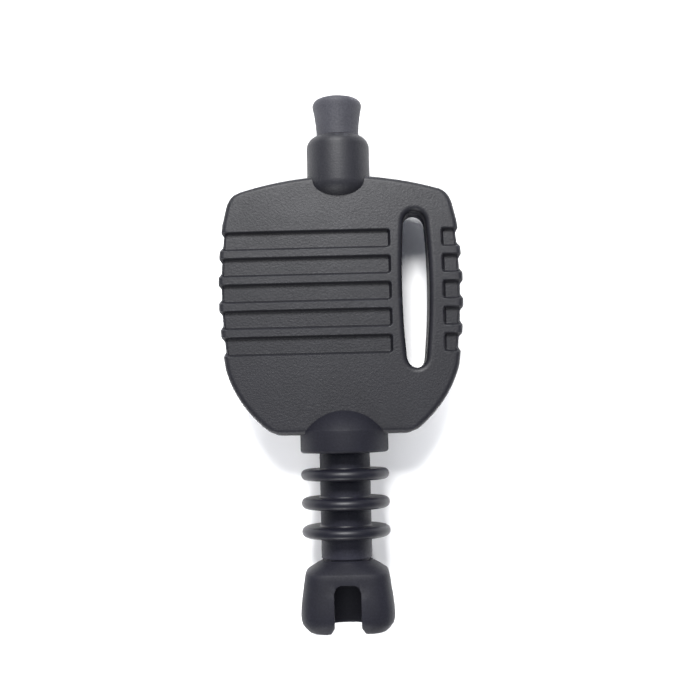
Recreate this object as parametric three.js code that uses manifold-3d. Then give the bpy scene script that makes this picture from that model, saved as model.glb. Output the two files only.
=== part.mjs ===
// Radiator bleed key with a paddle grip, a push knob, a ringed stem and a slotted splash hood.
// Millimetres, +Z up. The key lies on its back: its axis runs along Y, the knob towards +Y,
// the grip's front face up. The origin is under the middle of the key, on the surface it lies on.
import * as THREE from 'three';
import { mergeVertices } from 'three/addons/utils/BufferGeometryUtils.js';
import Module from 'manifold-3d';

const wasm = await Module();
wasm.setup();

// ---- driving dimensions ----
const ROUND_STEPS = 36; // facets round the turned pieces
const SMALL_STEPS = 20; // facets round the small hidden pieces
const GAP = 0.3; // clearance between touching pieces
const RIM_RADIUS = 7.5; // flange and drip rings, which the key rests on
const AXIS_HEIGHT = RIM_RADIUS * Math.cos(Math.PI / ROUND_STEPS);
const PRESS_TRAVEL = 2.5; // how far the knob goes down
const HALF_LENGTH = 45.35;

const GRIP = {
  halfThickness: 3.9,
  topHalfThickness: 3.0,
  flatUpTo: 9.5, // above this the faces draw in towards the top edge
  top: 31.5,
  bottom: -12.8,
  edgeRound: 1,
};
// Right-hand side of the grip's outline, from its lower edge up, as [x, y] of the curves' ends and controls.
const GRIP_SIDE = {
  footStart: [9.9, -12.8],
  footControl: [11.63, -12.8],
  footEnd: [13.08, -11.64],
  sweepControl: [18.15, -7.3],
  sweepEnd: [19.75, -1.51],
  bulgeControl: [21.7, 11.16],
  bulgeEnd: [20.05, 23.36],
  cornerStart: [19.42, 26.1],
  cornerControl: [18.85, 28.46],
  cornerEnd: [17, 29],
};
const GROOVE = { count: 5, top: 22, pitch: 4.5, height: 3.35, depth: 0.9, sideDepth: 0.5 };
const GROOVE_ENDS = { left: 8.68, right: 17.15, corner: 0.9 };
const SLOT = {
  upper: { y: 22.65, left: 10.85, right: 14.74 },
  lower: { y: 0.49, left: 10.89, right: 14.34 },
  bowY: 11.16,
  bowLeft: 9.99,
  bowRight: 15.57,
  capReach: 3.1, // how far the end curves' controls stand out past the sides
};
const COLLAR = { top: 38.8, radius: 5.43, shoulder: 1.6, domeTop: 30.44, domeDepth: 3.3, bore: 4.05, floor: 29.4 };
const KNOB = { radius: 4.28, widest: 44.25, neck: 3.62, skirt: 3.75, skirtTop: 37, bottom: 32.4 };
const ROD = { radius: 1, top: 40.4, tip: -30.1, grooveDepth: 0.3, chamfer: 0.4 };
const CLIP = { top: 19.1, thickness: 0.6, radius: 2 };
const SPRING = { bottom: 22, top: 32.1, coilRadius: 1.7, wireRadius: 0.25, turns: 6.5 };
const CHANNEL_RADIUS = 2.3; // round channel for the spring and the clip
const SEAT_WALL = { bottom: 19.4, top: 20.9 }; // web in the grip that the spring stands on
const STEM = { radius: 4.29, top: -13.4, shoulder: -33.6, bottom: -36.9, spigot: 3.95, flat: 3.55 };
const STEM_HEAD = { halfWidth: 4, halfDepth: 2.3, top: -4 }; // square drive head, held between the grip's halves
const SEAL = { pocketTop: -26.5, pocketBottom: -29.4, pocketRadius: 2.4, radius: 2.1, thickness: 1.4, washer: 0.6 };
const SQUARE_SOCKET = 5.1; // across flats, for the usual 5 mm bleed screw
const FLANGE = { domeRadius: 8.7, crease: -12.16, bottom: -15.87, edge: 0.6 };
const RINGS = { first: -19.52, pitch: 4.78, thickness: 1.87, count: 3 };
const HOOD = {
  top: -33.9,
  shoulder: -36.2,
  widest: -42.5,
  bore: 4.95,
  boreTop: -37.2,
  squareness: 4.5, // power of the rounded-square section
  depthRatio: 0.86,
  slotWidth: 4.42,
  slotTop: -37.33,
  slotCorner: 1,
};
// Outside of the hood: [half width, height above its lower end] up to its shoulder, then the slope to the top.
const HOOD_SIDE = [[6.3, 0], [7.15, 0.5], [7.65, 1.3]];
const HOOD_SHOULDER = [[7.15, -0.1], [6.85, 0.6]];
const HOOD_WIDTHS = { widest: 7.89, top: 4.75 };
// The grip's screws, heights measured from the parting plane, and their cross recess.
const SCREWS = { x: 11.6, upper: 27.6, lower: -6, headRadius: 1.6, shankRadius: 0.8 };
const SCREW_HEIGHTS = { headLow: -3.1, headHigh: -2.2, tip: 1.7, sinkTop: -1.9, holeEnd: 2.1 };
const CROSS = { arm: 0.9, halfWidth: 0.2, depth: 0.45 };
// Pockets moulded in the solid side of the grip: [x, y] of opposite corners, and half their depth.
const POCKETS = {
  upper: [[-13, 11], [-4.2, 23]],
  lower: [[-13, -2.5], [-5.6, 9.4]],
  halfDepth: 2.2,
};
const REACH = 60; // half the size of a tool solid that passes right through the key
const OVERLAP = 0.5; // how far a tool solid runs past the face that it cuts or joins

const MATERIALS = {
  grip: { color: 0x38383b, roughness: 0.72, metalness: 0 },
  collar: { color: 0x36363a, roughness: 0.62, metalness: 0 },
  satin: { color: 0x24252b, roughness: 0.45, metalness: 0 },
  ring: { color: 0x1d1f25, roughness: 0.4, metalness: 0 },
  rubber: { color: 0x141414, roughness: 0.8, metalness: 0 },
  steel: { color: 0xa9abae, roughness: 0.35, metalness: 1 },
};

// ---- helpers ----

/** A closed three.js geometry as a manifold solid. */
function solid(geometry) {
  const bare = geometry.clone();
  bare.deleteAttribute('normal');
  bare.deleteAttribute('uv');
  const merged = mergeVertices(bare, 1e-4);
  const index = merged.index.array;
  const triangles = [];
  for (let i = 0; i < index.length; i += 3) {
    const [a, b, c] = [index[i], index[i + 1], index[i + 2]];
    if (a !== b && b !== c && c !== a) {
      triangles.push(a, b, c);
    }
  }
  return new wasm.Manifold(
    new wasm.Mesh({
      numProp: 3,
      vertProperties: new Float32Array(merged.attributes.position.array),
      triVerts: new Uint32Array(triangles),
    }),
  );
}

/** A manifold solid as a three.js geometry. */
function toGeometry(body) {
  const data = body.getMesh();
  const geometry = new THREE.BufferGeometry();
  geometry.setAttribute('position', new THREE.BufferAttribute(new Float32Array(data.vertProperties), 3));
  geometry.setIndex(new THREE.BufferAttribute(new Uint32Array(data.triVerts), 1));
  geometry.computeVertexNormals();
  return geometry;
}

/** A solid turned about the key's axis from [radius, y] points, listed from the +Y end to the -Y end. */
function turned(points, steps = ROUND_STEPS) {
  const profile = points.map(([radius, y]) => new THREE.Vector2(radius, y)).reverse();
  return solid(new THREE.LatheGeometry(profile, steps, Math.PI / steps, Math.PI * 2));
}

/** Points of a quarter ellipse about [r, y], from one angle to another (degrees, 0 = outwards, 90 = +Y). */
function arc(r, y, radiusR, radiusY, from, to, steps) {
  const points = [];
  for (let i = 0; i <= steps; i += 1) {
    const angle = THREE.MathUtils.degToRad(from + ((to - from) * i) / steps);
    points.push([r + radiusR * Math.cos(angle), y + radiusY * Math.sin(angle)]);
  }
  return points;
}

/** A plain cylinder along the key's axis between two Y values. */
function rod(radius, low, high, steps = SMALL_STEPS) {
  return turned([[0, high], [radius, high], [radius, low], [0, low]], steps);
}

/** A ring of rectangular section along the key's axis. */
function washer(inner, outer, low, high, steps = SMALL_STEPS) {
  return turned([[inner, high], [outer, high], [outer, low], [inner, low], [inner, high]], steps);
}

/** A box between two corners. */
function box(low, high) {
  const size = high.map((value, i) => value - low[i]);
  const geometry = new THREE.BoxGeometry(...size);
  geometry.translate(...low.map((value, i) => value + size[i] / 2));
  return solid(geometry);
}

/** An outline in X and Y as a prism between two Z values. */
function prism(shape, low, high, curveSegments = 6) {
  const geometry = new THREE.ExtrudeGeometry(shape, { depth: high - low, bevelEnabled: false, curveSegments });
  geometry.translate(0, 0, low);
  return solid(geometry);
}

/** A rectangle with rounded corners as a shape. */
function roundedRectangle(left, right, bottom, top, corner) {
  const shape = new THREE.Shape();
  shape.moveTo(left + corner, bottom);
  shape.lineTo(right - corner, bottom);
  shape.quadraticCurveTo(right, bottom, right, bottom + corner);
  shape.lineTo(right, top - corner);
  shape.quadraticCurveTo(right, top, right - corner, top);
  shape.lineTo(left + corner, top);
  shape.quadraticCurveTo(left, top, left, top - corner);
  shape.lineTo(left, bottom + corner);
  shape.quadraticCurveTo(left, bottom, left + corner, bottom);
  return shape;
}

// ---- the grip ----

/** The paddle's outline: flat bottom, swept lower corners, bulging sides, arched top edge. */
function gripOutline() {
  const { footStart, footControl, footEnd, sweepControl, sweepEnd, bulgeControl, bulgeEnd } = GRIP_SIDE;
  const { cornerStart, cornerControl, cornerEnd } = GRIP_SIDE;
  const mirror = ([x, y]) => [-x, y];
  const shape = new THREE.Shape();
  shape.moveTo(...mirror(footStart));
  shape.lineTo(...footStart);
  shape.quadraticCurveTo(...footControl, ...footEnd);
  shape.quadraticCurveTo(...sweepControl, ...sweepEnd);
  shape.quadraticCurveTo(...bulgeControl, ...bulgeEnd);
  shape.lineTo(...cornerStart);
  shape.quadraticCurveTo(...cornerControl, ...cornerEnd);
  shape.quadraticCurveTo(0, 2 * GRIP.top - cornerEnd[1], ...mirror(cornerEnd));
  shape.quadraticCurveTo(...mirror(cornerControl), ...mirror(cornerStart));
  shape.lineTo(...mirror(bulgeEnd));
  shape.quadraticCurveTo(...mirror(bulgeControl), ...mirror(sweepEnd));
  shape.quadraticCurveTo(...mirror(sweepControl), ...mirror(footEnd));
  shape.quadraticCurveTo(...mirror(footControl), ...mirror(footStart));
  return shape;
}

/** The paddle as a plain solid, drawn in by an inset all round: its edges rounded, its faces crowned. */
function paddle(inset) {
  const round = GRIP.edgeRound;
  const half = GRIP.halfThickness;
  const plan = new THREE.ExtrudeGeometry(gripOutline(), {
    depth: 2 * (half - round),
    bevelThickness: round,
    bevelSize: round,
    bevelOffset: -round - inset.side,
    bevelSegments: 3,
    curveSegments: 9,
  });
  plan.translate(0, 0, -(half - round));
  const face = half - inset.face;
  const edge = GRIP.topHalfThickness - inset.face;
  const side = new THREE.Shape();
  side.moveTo(GRIP.bottom - 1, -face);
  side.lineTo(GRIP.flatUpTo, -face);
  side.quadraticCurveTo((GRIP.flatUpTo + GRIP.top) / 2, -face, GRIP.top + 1, -edge);
  side.lineTo(GRIP.top + 1, edge);
  side.quadraticCurveTo((GRIP.flatUpTo + GRIP.top) / 2, face, GRIP.flatUpTo, face);
  side.lineTo(GRIP.bottom - 1, face);
  side.closePath();
  const crown = new THREE.ExtrudeGeometry(side, { depth: 2 * REACH, bevelEnabled: false, curveSegments: 5 });
  crown.translate(0, 0, -REACH);
  crown.applyMatrix4(new THREE.Matrix4().makeBasis(
    new THREE.Vector3(0, 1, 0),
    new THREE.Vector3(0, 0, 1),
    new THREE.Vector3(1, 0, 0),
  ));
  return solid(plan).intersect(solid(crown));
}

/** The grip grooves' bands: long ones left of the strap slot, short ones right of it. */
function grooveBands() {
  let bands = null;
  for (let i = 0; i < GROOVE.count; i += 1) {
    const top = GROOVE.top - i * GROOVE.pitch;
    const bottom = top - GROOVE.height;
    const corner = GROOVE_ENDS.corner;
    const left = prism(roundedRectangle(-REACH, GROOVE_ENDS.left, bottom, top, corner), -REACH, REACH, 3);
    const right = prism(roundedRectangle(GROOVE_ENDS.right, REACH, bottom, top, corner), -REACH, REACH, 3);
    const pair = left.add(right);
    bands = bands ? bands.add(pair) : pair;
  }
  return bands;
}

/** The tall bowed slot for a strap. */
function strapSlot() {
  const { upper, lower, bowY, bowLeft, bowRight, capReach } = SLOT;
  const shape = new THREE.Shape();
  shape.moveTo(upper.left, upper.y);
  shape.quadraticCurveTo(bowLeft, bowY, lower.left, lower.y);
  shape.bezierCurveTo(lower.left, lower.y - capReach, lower.right, lower.y - capReach, lower.right, lower.y);
  shape.quadraticCurveTo(bowRight, bowY, upper.right, upper.y);
  shape.bezierCurveTo(upper.right, upper.y + capReach, upper.left, upper.y + capReach, upper.left, upper.y);
  return prism(shape, -REACH, REACH, 8);
}

/** The round collar's outer points, from its mouth down to its domed end, grown by a margin. */
function collarProfile(margin) {
  const { top, radius, shoulder, domeTop, domeDepth } = COLLAR;
  return [
    ...arc(radius - shoulder, top - shoulder, shoulder + margin, shoulder + margin, 80, 0, 4),
    ...arc(0, domeTop, radius + margin, domeDepth + margin, 0, -90, 6),
  ];
}

/** Everything that the grip's two halves leave room for. */
function gripHollow() {
  const mouth = COLLAR.radius - COLLAR.shoulder;
  const collarRoom = turned([[0, COLLAR.top + 2], [mouth, COLLAR.top + 2], ...collarProfile(GAP)]);
  const head = box(
    [-STEM_HEAD.halfWidth - GAP, GRIP.bottom - OVERLAP, -STEM_HEAD.halfDepth - GAP],
    [STEM_HEAD.halfWidth + GAP, STEM_HEAD.top + GAP, STEM_HEAD.halfDepth + GAP],
  );
  const springRoom = rod(CHANNEL_RADIUS, SEAT_WALL.top, COLLAR.domeTop);
  const clipRoom = rod(CHANNEL_RADIUS, CLIP.top - CLIP.thickness - PRESS_TRAVEL - GAP, SEAT_WALL.bottom);
  const rodRoom = rod(ROD.radius + GAP, STEM_HEAD.top, SEAT_WALL.top + OVERLAP);
  return collarRoom.add(head).add(springRoom).add(clipRoom).add(rodRoom);
}

/** Moulded pockets on the left that keep the walls even and balance the strap slot. */
function coringPockets() {
  const { upper, lower, halfDepth } = POCKETS;
  const pocket = ([low, high]) => box([...low, -halfDepth], [...high, halfDepth]);
  return pocket(upper).add(pocket(lower));
}

/** Places of the four grip screws. */
function screwPlaces() {
  const { x, upper, lower } = SCREWS;
  return [[-x, upper], [x, upper], [-x, lower], [x, lower]];
}

/** A cylinder along Z between two heights at a place on the grip. */
function post(radius, x, y, low, high) {
  const geometry = new THREE.CylinderGeometry(radius, radius, high - low, 16);
  geometry.rotateX(Math.PI / 2);
  geometry.translate(x, y, (low + high) / 2);
  return solid(geometry);
}

/** The whole grooved paddle with its slot and inner rooms, before it is split in two. */
function grip() {
  const groovesOnly = grooveBands().subtract(paddle({ face: GROOVE.depth, side: GROOVE.sideDepth }));
  return paddle({ face: 0, side: 0 })
    .subtract(groovesOnly)
    .subtract(strapSlot())
    .subtract(gripHollow())
    .subtract(coringPockets());
}

/** The front half, with blind holes for the screws. */
function frontShell(whole) {
  let half = whole.intersect(box([-REACH, -REACH, GAP / 2], [REACH, REACH, REACH]));
  for (const [x, y] of screwPlaces()) {
    half = half.subtract(post(SCREWS.shankRadius + GAP, x, y, -OVERLAP, SCREW_HEIGHTS.holeEnd));
  }
  return half;
}

/** The rear half, with sunk clearance holes for the screws. */
function rearShell(whole) {
  let half = whole.intersect(box([-REACH, -REACH, -REACH], [REACH, REACH, -GAP / 2]));
  for (const [x, y] of screwPlaces()) {
    half = half.subtract(post(SCREWS.shankRadius + GAP, x, y, -REACH, OVERLAP));
    half = half.subtract(post(SCREWS.headRadius + GAP, x, y, -REACH, SCREW_HEIGHTS.sinkTop));
  }
  return half;
}

/** One pan-head grip screw with a cross recess, driven in from the rear. */
function gripScrew(x, y) {
  const { headLow, headHigh, tip } = SCREW_HEIGHTS;
  const { arm, halfWidth, depth } = CROSS;
  const slit = (alongX, alongY) => box(
    [x - alongX, y - alongY, headLow - OVERLAP],
    [x + alongX, y + alongY, headLow + depth],
  );
  return post(SCREWS.headRadius, x, y, headLow, headHigh)
    .add(post(SCREWS.shankRadius, x, y, headHigh - CROSS.halfWidth, tip))
    .subtract(slit(arm, halfWidth))
    .subtract(slit(halfWidth, arm));
}

// ---- collar, knob and plunger ----

/** The collar: a guide bush with a rounded shoulder and a domed lower end. */
function topCollar() {
  const body = turned([[0, COLLAR.top], ...collarProfile(0)]);
  const bore = rod(COLLAR.bore, COLLAR.floor, COLLAR.top + OVERLAP, ROUND_STEPS);
  const springRoom = rod(CHANNEL_RADIUS, SPRING.bottom, COLLAR.floor + OVERLAP);
  return body.subtract(bore).subtract(springRoom);
}

/** The push knob: tapered head, narrow neck and a guide skirt inside the collar. */
function pushKnob() {
  const { radius, widest, neck, skirt, skirtTop, bottom } = KNOB;
  const edge = HALF_LENGTH - widest;
  const body = turned([
    [0, HALF_LENGTH],
    ...arc(radius - edge, widest, edge, edge, 90, 0, 4),
    [neck, COLLAR.top],
    [neck, skirtTop + GAP],
    [skirt, skirtTop],
    [skirt, bottom],
    [0, bottom],
  ]);
  return body.subtract(rod(ROD.radius + GAP, bottom - OVERLAP, ROD.top + GAP));
}

/** The push rod, with a groove for its clip. */
function pushRod() {
  const { radius, top, tip } = ROD;
  const groove = radius - ROD.grooveDepth;
  const clipBottom = CLIP.top - CLIP.thickness;
  return turned([
    [0, top],
    [radius, top],
    [radius, CLIP.top + GAP],
    [groove, CLIP.top + GAP],
    [groove, clipBottom - GAP],
    [radius, clipBottom - GAP],
    [radius, tip + ROD.chamfer],
    [radius - ROD.chamfer, tip],
    [0, tip],
  ], SMALL_STEPS);
}

/** The clip that stops the plunger from coming out. */
function rodClip() {
  const bottom = CLIP.top - CLIP.thickness;
  const ring = washer(ROD.radius, CLIP.radius, bottom, CLIP.top);
  return ring.subtract(box([-ROD.radius, bottom - OVERLAP, 0], [ROD.radius, CLIP.top + OVERLAP, REACH]));
}

/** The washer on the web in the grip, under the spring. */
function springWasher() {
  return washer(ROD.radius + GAP, CLIP.radius, SEAT_WALL.top + GAP / 3, SPRING.bottom - GAP);
}

/** The coil spring round the rod. */
function returnSpring() {
  const { bottom, top, coilRadius, wireRadius, turns } = SPRING;
  const wire = new THREE.Shape();
  wire.absarc(0, 0, wireRadius, 0, Math.PI * 2);
  const low = bottom + wireRadius;
  const high = top - wireRadius;
  class Helix extends THREE.Curve {
    getPoint(t, target = new THREE.Vector3()) {
      const angle = t * turns * Math.PI * 2;
      return target.set(coilRadius * Math.cos(angle), low + t * (high - low), coilRadius * Math.sin(angle));
    }
  }
  const geometry = new THREE.ExtrudeGeometry(wire, {
    steps: Math.round(turns * 12),
    curveSegments: 3,
    extrudePath: new Helix(),
  });
  return solid(geometry);
}

// ---- stem, flange, rings and hood ----

/** The hollow stem: square drive head in the grip, round shaft, square socket at its lower end. */
function stem() {
  const { radius, top, shoulder, bottom, spigot, flat } = STEM;
  const shaft = turned([[0, top], [radius, top], [radius, shoulder], [0, shoulder]]);
  const flats = box([-flat, -REACH, -REACH], [flat, REACH, REACH]);
  const end = rod(spigot, bottom, shoulder + OVERLAP, ROUND_STEPS).intersect(flats);
  const { halfWidth, halfDepth } = STEM_HEAD;
  const head = box([-halfWidth, top - OVERLAP, -halfDepth], [halfWidth, STEM_HEAD.top, halfDepth]);
  const half = SQUARE_SOCKET / 2;
  return shaft
    .add(end)
    .add(head)
    .subtract(rod(ROD.radius + GAP, SEAL.pocketTop - OVERLAP, STEM_HEAD.top + OVERLAP))
    .subtract(rod(SEAL.pocketRadius, SEAL.pocketBottom - OVERLAP, SEAL.pocketTop))
    .subtract(box([-half, bottom - OVERLAP, -half], [half, SEAL.pocketBottom, half]));
}

/** The seal round the rod. */
function rodSeal() {
  const top = SEAL.pocketTop - GAP;
  return washer(ROD.radius + GAP, SEAL.radius, top - SEAL.thickness, top);
}

/** The washer that holds the seal in the stem. */
function sealWasher() {
  const top = SEAL.pocketTop - SEAL.thickness - 2 * GAP;
  return washer(ROD.radius + GAP, SEAL.radius, top - SEAL.washer, top);
}

/** The domed flange that the grip's lower edge sits in. */
function shoulderFlange() {
  const { domeRadius, crease, bottom, edge } = FLANGE;
  const inner = STEM.radius + GAP;
  const creaseAngle = THREE.MathUtils.radToDeg(Math.acos(RIM_RADIUS / domeRadius));
  const centre = crease - domeRadius * Math.sin(THREE.MathUtils.degToRad(creaseAngle));
  const body = turned([
    ...arc(0, centre, domeRadius, domeRadius, 90, creaseAngle, 7),
    ...arc(RIM_RADIUS - edge, bottom + edge, edge, edge, 0, -90, 3),
    [0, bottom],
  ]);
  const half = GRIP.halfThickness + GAP;
  return body
    .subtract(box([-REACH, GRIP.bottom - GAP, -half], [REACH, REACH, half]))
    .subtract(rod(inner, bottom - OVERLAP, GRIP.bottom, ROUND_STEPS));
}

/** One drip ring with a rounded rim. */
function dripRing(number) {
  const middle = RINGS.first - (number - 1) * RINGS.pitch;
  const half = RINGS.thickness / 2;
  const inner = STEM.radius + GAP;
  return turned([
    [inner, middle + half],
    ...arc(RIM_RADIUS - half, middle, half, half, 90, -90, 6),
    [inner, middle - half],
    [inner, middle + half],
  ]);
}

/** Round sections squared off, as on the hood. */
function squaredOff(geometry, power, depthRatio) {
  const position = geometry.attributes.position;
  for (let i = 0; i < position.count; i += 1) {
    const angle = Math.atan2(position.getZ(i), position.getX(i));
    const along = Math.abs(Math.cos(angle)) ** power + Math.abs(Math.sin(angle)) ** power;
    const scale = along ** (-1 / power);
    position.setX(i, position.getX(i) * scale);
    position.setZ(i, position.getZ(i) * scale * depthRatio);
  }
  return geometry;
}

/** The flared splash hood, with its outlet slot in front. */
function splashHood() {
  const { top, shoulder, widest, bore, boreTop, squareness, depthRatio, slotWidth, slotTop, slotCorner } = HOOD;
  const bottom = -HALF_LENGTH;
  const profile = [
    [0, bottom],
    ...HOOD_SIDE.map(([halfWidth, height]) => [halfWidth, bottom + height]),
    [HOOD_WIDTHS.widest, widest],
    ...HOOD_SHOULDER.map(([halfWidth, height]) => [halfWidth, shoulder + height]),
    [HOOD_WIDTHS.top, top],
    [0, top],
  ].map(([radius, y]) => new THREE.Vector2(radius, y));
  const outside = solid(squaredOff(new THREE.LatheGeometry(profile, 48), squareness, depthRatio));
  const spigotRoom = rod(STEM.spigot + GAP, boreTop - OVERLAP, top + OVERLAP, ROUND_STEPS)
    .intersect(box([-STEM.flat - GAP, -REACH, -REACH], [STEM.flat + GAP, REACH, REACH]));
  const half = slotWidth / 2;
  const slot = prism(roundedRectangle(-half, half, bottom - 2 * slotCorner, slotTop, slotCorner), 0, REACH, 3);
  return outside
    .subtract(rod(bore, bottom - OVERLAP, boreTop, ROUND_STEPS))
    .subtract(spigotRoom)
    .subtract(slot);
}

// ---- the assembly ----

const key = new THREE.Group();

/** Adds one named piece to the key. */
function addPiece(name, body, materialName) {
  const mesh = new THREE.Mesh(toGeometry(body), new THREE.MeshStandardMaterial(MATERIALS[materialName]));
  mesh.name = name;
  mesh.position.z = AXIS_HEIGHT;
  key.add(mesh);
}

const wholeGrip = grip();
addPiece('front_grip_shell', frontShell(wholeGrip), 'grip');
addPiece('rear_grip_shell', rearShell(wholeGrip), 'grip');
screwPlaces().forEach(([x, y], i) => {
  addPiece(`grip_screw_${i + 1}`, gripScrew(x, y), 'steel');
});
addPiece('top_collar', topCollar(), 'collar');
addPiece('push_knob', pushKnob(), 'collar');
addPiece('push_rod', pushRod(), 'steel');
addPiece('rod_clip', rodClip(), 'steel');
addPiece('return_spring', returnSpring(), 'steel');
addPiece('spring_washer', springWasher(), 'steel');
addPiece('stem', stem(), 'satin');
addPiece('rod_seal', rodSeal(), 'rubber');
addPiece('seal_washer', sealWasher(), 'steel');
addPiece('shoulder_flange', shoulderFlange(), 'satin');
for (let number = 1; number <= RINGS.count; number += 1) {
  addPiece(`drip_ring_${number}`, dripRing(number), 'ring');
}
addPiece('splash_hood', splashHood(), 'satin');

export default key;
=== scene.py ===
"""Radiator bleed key: the visual model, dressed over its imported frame.

Sizes are millimetres about the key's own axis (x across the grip, y towards the push knob,
z out of the grip's front face) and are turned to metres in the frame as each mesh is finished.
"""
import logging
import math
from collections.abc import Callable, Iterable, Sequence
from dataclasses import dataclass, field
from enum import Enum

import bmesh
import bpy
from mathutils import Matrix, Vector


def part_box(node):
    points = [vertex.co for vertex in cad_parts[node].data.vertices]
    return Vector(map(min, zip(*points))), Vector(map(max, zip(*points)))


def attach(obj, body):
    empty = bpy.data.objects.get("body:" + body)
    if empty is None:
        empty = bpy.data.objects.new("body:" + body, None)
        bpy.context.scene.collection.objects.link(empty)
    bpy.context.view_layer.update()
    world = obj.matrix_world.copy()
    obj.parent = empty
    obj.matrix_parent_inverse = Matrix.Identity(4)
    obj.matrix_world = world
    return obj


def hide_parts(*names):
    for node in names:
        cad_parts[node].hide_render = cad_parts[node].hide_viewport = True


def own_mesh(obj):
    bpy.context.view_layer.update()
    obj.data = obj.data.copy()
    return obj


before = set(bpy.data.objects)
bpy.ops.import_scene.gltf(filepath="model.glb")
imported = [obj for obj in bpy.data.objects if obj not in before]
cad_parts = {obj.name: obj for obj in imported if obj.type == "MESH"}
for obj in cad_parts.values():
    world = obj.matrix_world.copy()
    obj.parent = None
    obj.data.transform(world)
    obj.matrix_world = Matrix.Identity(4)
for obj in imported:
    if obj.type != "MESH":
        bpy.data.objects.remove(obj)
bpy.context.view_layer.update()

MM = 0.001
ROD_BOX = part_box("push_rod")
AXIS_HEIGHT = (ROD_BOX[0][2] + ROD_BOX[1][2]) / 2
TO_FRAME = Matrix.Translation((0.0, 0.0, AXIS_HEIGHT)) @ Matrix.Scale(MM, 4)
ROUND_STEPS = 112
LOG = logging.getLogger("bleed_key")


class Body(Enum):
    """The frame's two moving groups."""

    HANDLE = "body"
    PLUNGER = "plunger"


class Side(Enum):
    """Which half of the grip a shell is."""

    FRONT = 1
    REAR = -1


# ---------------------------------------------------------------- finishes


def linear(code: str) -> tuple[float, float, float, float]:
    """Turns an sRGB hex colour into a linear RGBA value.

    Args:
        code: six hex digits, with or without a leading #.

    Returns:
        The linear red, green, blue and an alpha of 1.
    """
    digits = code.lstrip("#")
    levels = [int(digits[i : i + 2], 16) / 255 for i in (0, 2, 4)]
    red, green, blue = (c / 12.92 if c <= 0.04045 else ((c + 0.055) / 1.055) ** 2.4 for c in levels)
    return red, green, blue, 1.0


def add_node(
    tree: bpy.types.NodeTree,
    kind: str,
    inputs: dict[int | str, object] | None = None,
    stops: Sequence[tuple[float, str]] = (),
    **settings: object,
) -> bpy.types.Node:
    """Adds a node with its settings and links.

    Args:
        tree: the material's node tree.
        kind: the node's type name.
        inputs: input name or number to a value, or to the output socket that feeds it.
        stops: positions and hex colours, where the node is a colour ramp.
        settings: the node's own properties.

    Returns:
        The new node.
    """
    node = tree.nodes.new(kind)
    for name, value in settings.items():
        setattr(node, name, value)
    for socket, value in (inputs or {}).items():
        if isinstance(value, bpy.types.NodeSocket):
            tree.links.new(value, node.inputs[socket])
        else:
            node.inputs[socket].default_value = value
    for number, (position, colour) in enumerate(stops):
        elements = node.color_ramp.elements
        stop = elements[number] if number < 2 else elements.new(position)
        stop.position = position
        stop.color = linear(colour)
    return node


@dataclass(frozen=True)
class MouldedPlastic:
    """An injection-moulded polymer: its mould's texture, a slow mottle and edges painted lighter, partly as
    wear and partly as a painted highlight.
    """

    name: str
    slot: str
    pit: str
    face: str
    # Colour of the edges painted lighter: partly wear, partly painted highlight.
    edge_wear_and_highlight: str
    roughness: float
    grain_mm: float
    grain_depth_mm: float
    mottle_mm: float = 7.0
    mottle_share: float = 0.35
    # Strength of the lighter edge colour: partly wear, partly painted highlight.
    wear_and_highlight_strength: float = 1.2
    shine: float = 0.35

    def build(self) -> bpy.types.Material:
        """Makes the material.

        Returns:
            The finished material.
        """
        material = bpy.data.materials.new(self.name)
        material.use_nodes = True
        tree = material.node_tree
        tree.nodes.clear()
        place = add_node(tree, "ShaderNodeTexCoord").outputs["Object"]
        grain = add_node(
            tree,
            "ShaderNodeTexNoise",
            {"Vector": place, "Scale": 1 / (self.grain_mm * MM), "Detail": 3.0, "Roughness": 0.6},
        ).outputs[0]
        mottle = add_node(
            tree,
            "ShaderNodeTexNoise",
            {"Vector": place, "Scale": 1 / (self.mottle_mm * MM), "Detail": 4.0, "Roughness": 0.55},
        ).outputs[0]
        mixed = add_node(
            tree, "ShaderNodeMath", {0: mottle, 1: self.mottle_share, 2: 0.0}, operation="MULTIPLY_ADD"
        ).outputs[0]
        mixed = add_node(
            tree, "ShaderNodeMath", {0: grain, 1: 1 - self.mottle_share, 2: mixed}, operation="MULTIPLY_ADD"
        ).outputs[0]
        # Convex edges, found by pointiness, are painted lighter: partly wear, partly a painted highlight.
        edge = add_node(tree, "ShaderNodeNewGeometry").outputs["Pointiness"]
        edge = add_node(
            tree, "ShaderNodeMapRange", {"Value": edge, 1: 0.505, 2: 0.56, 3: 0.0, 4: self.wear_and_highlight_strength * 0.2}
        ).outputs[0]
        mixed = add_node(tree, "ShaderNodeMath", {0: mixed, 1: edge}, operation="ADD").outputs[0]
        colour = add_node(
            tree,
            "ShaderNodeValToRGB",
            {0: mixed},
            stops=((0.34, self.pit), (0.64, self.face), (0.82, self.edge_wear_and_highlight)),
        ).outputs[0]
        rough = add_node(
            tree,
            "ShaderNodeMapRange",
            {"Value": mixed, 1: 0.3, 2: 0.8, 3: self.roughness + 0.06, 4: self.roughness - 0.08},
        ).outputs[0]
        bump = add_node(
            tree,
            "ShaderNodeBump",
            {"Height": grain, "Distance": self.grain_depth_mm * MM, "Strength": 1.0},
        ).outputs[0]
        shader = add_node(
            tree,
            "ShaderNodeBsdfPrincipled",
            {"Base Color": colour, "Roughness": rough, "Normal": bump, "Specular IOR Level": self.shine},
        )
        add_node(tree, "ShaderNodeOutputMaterial", {"Surface": shader.outputs[0]})
        return material


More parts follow.
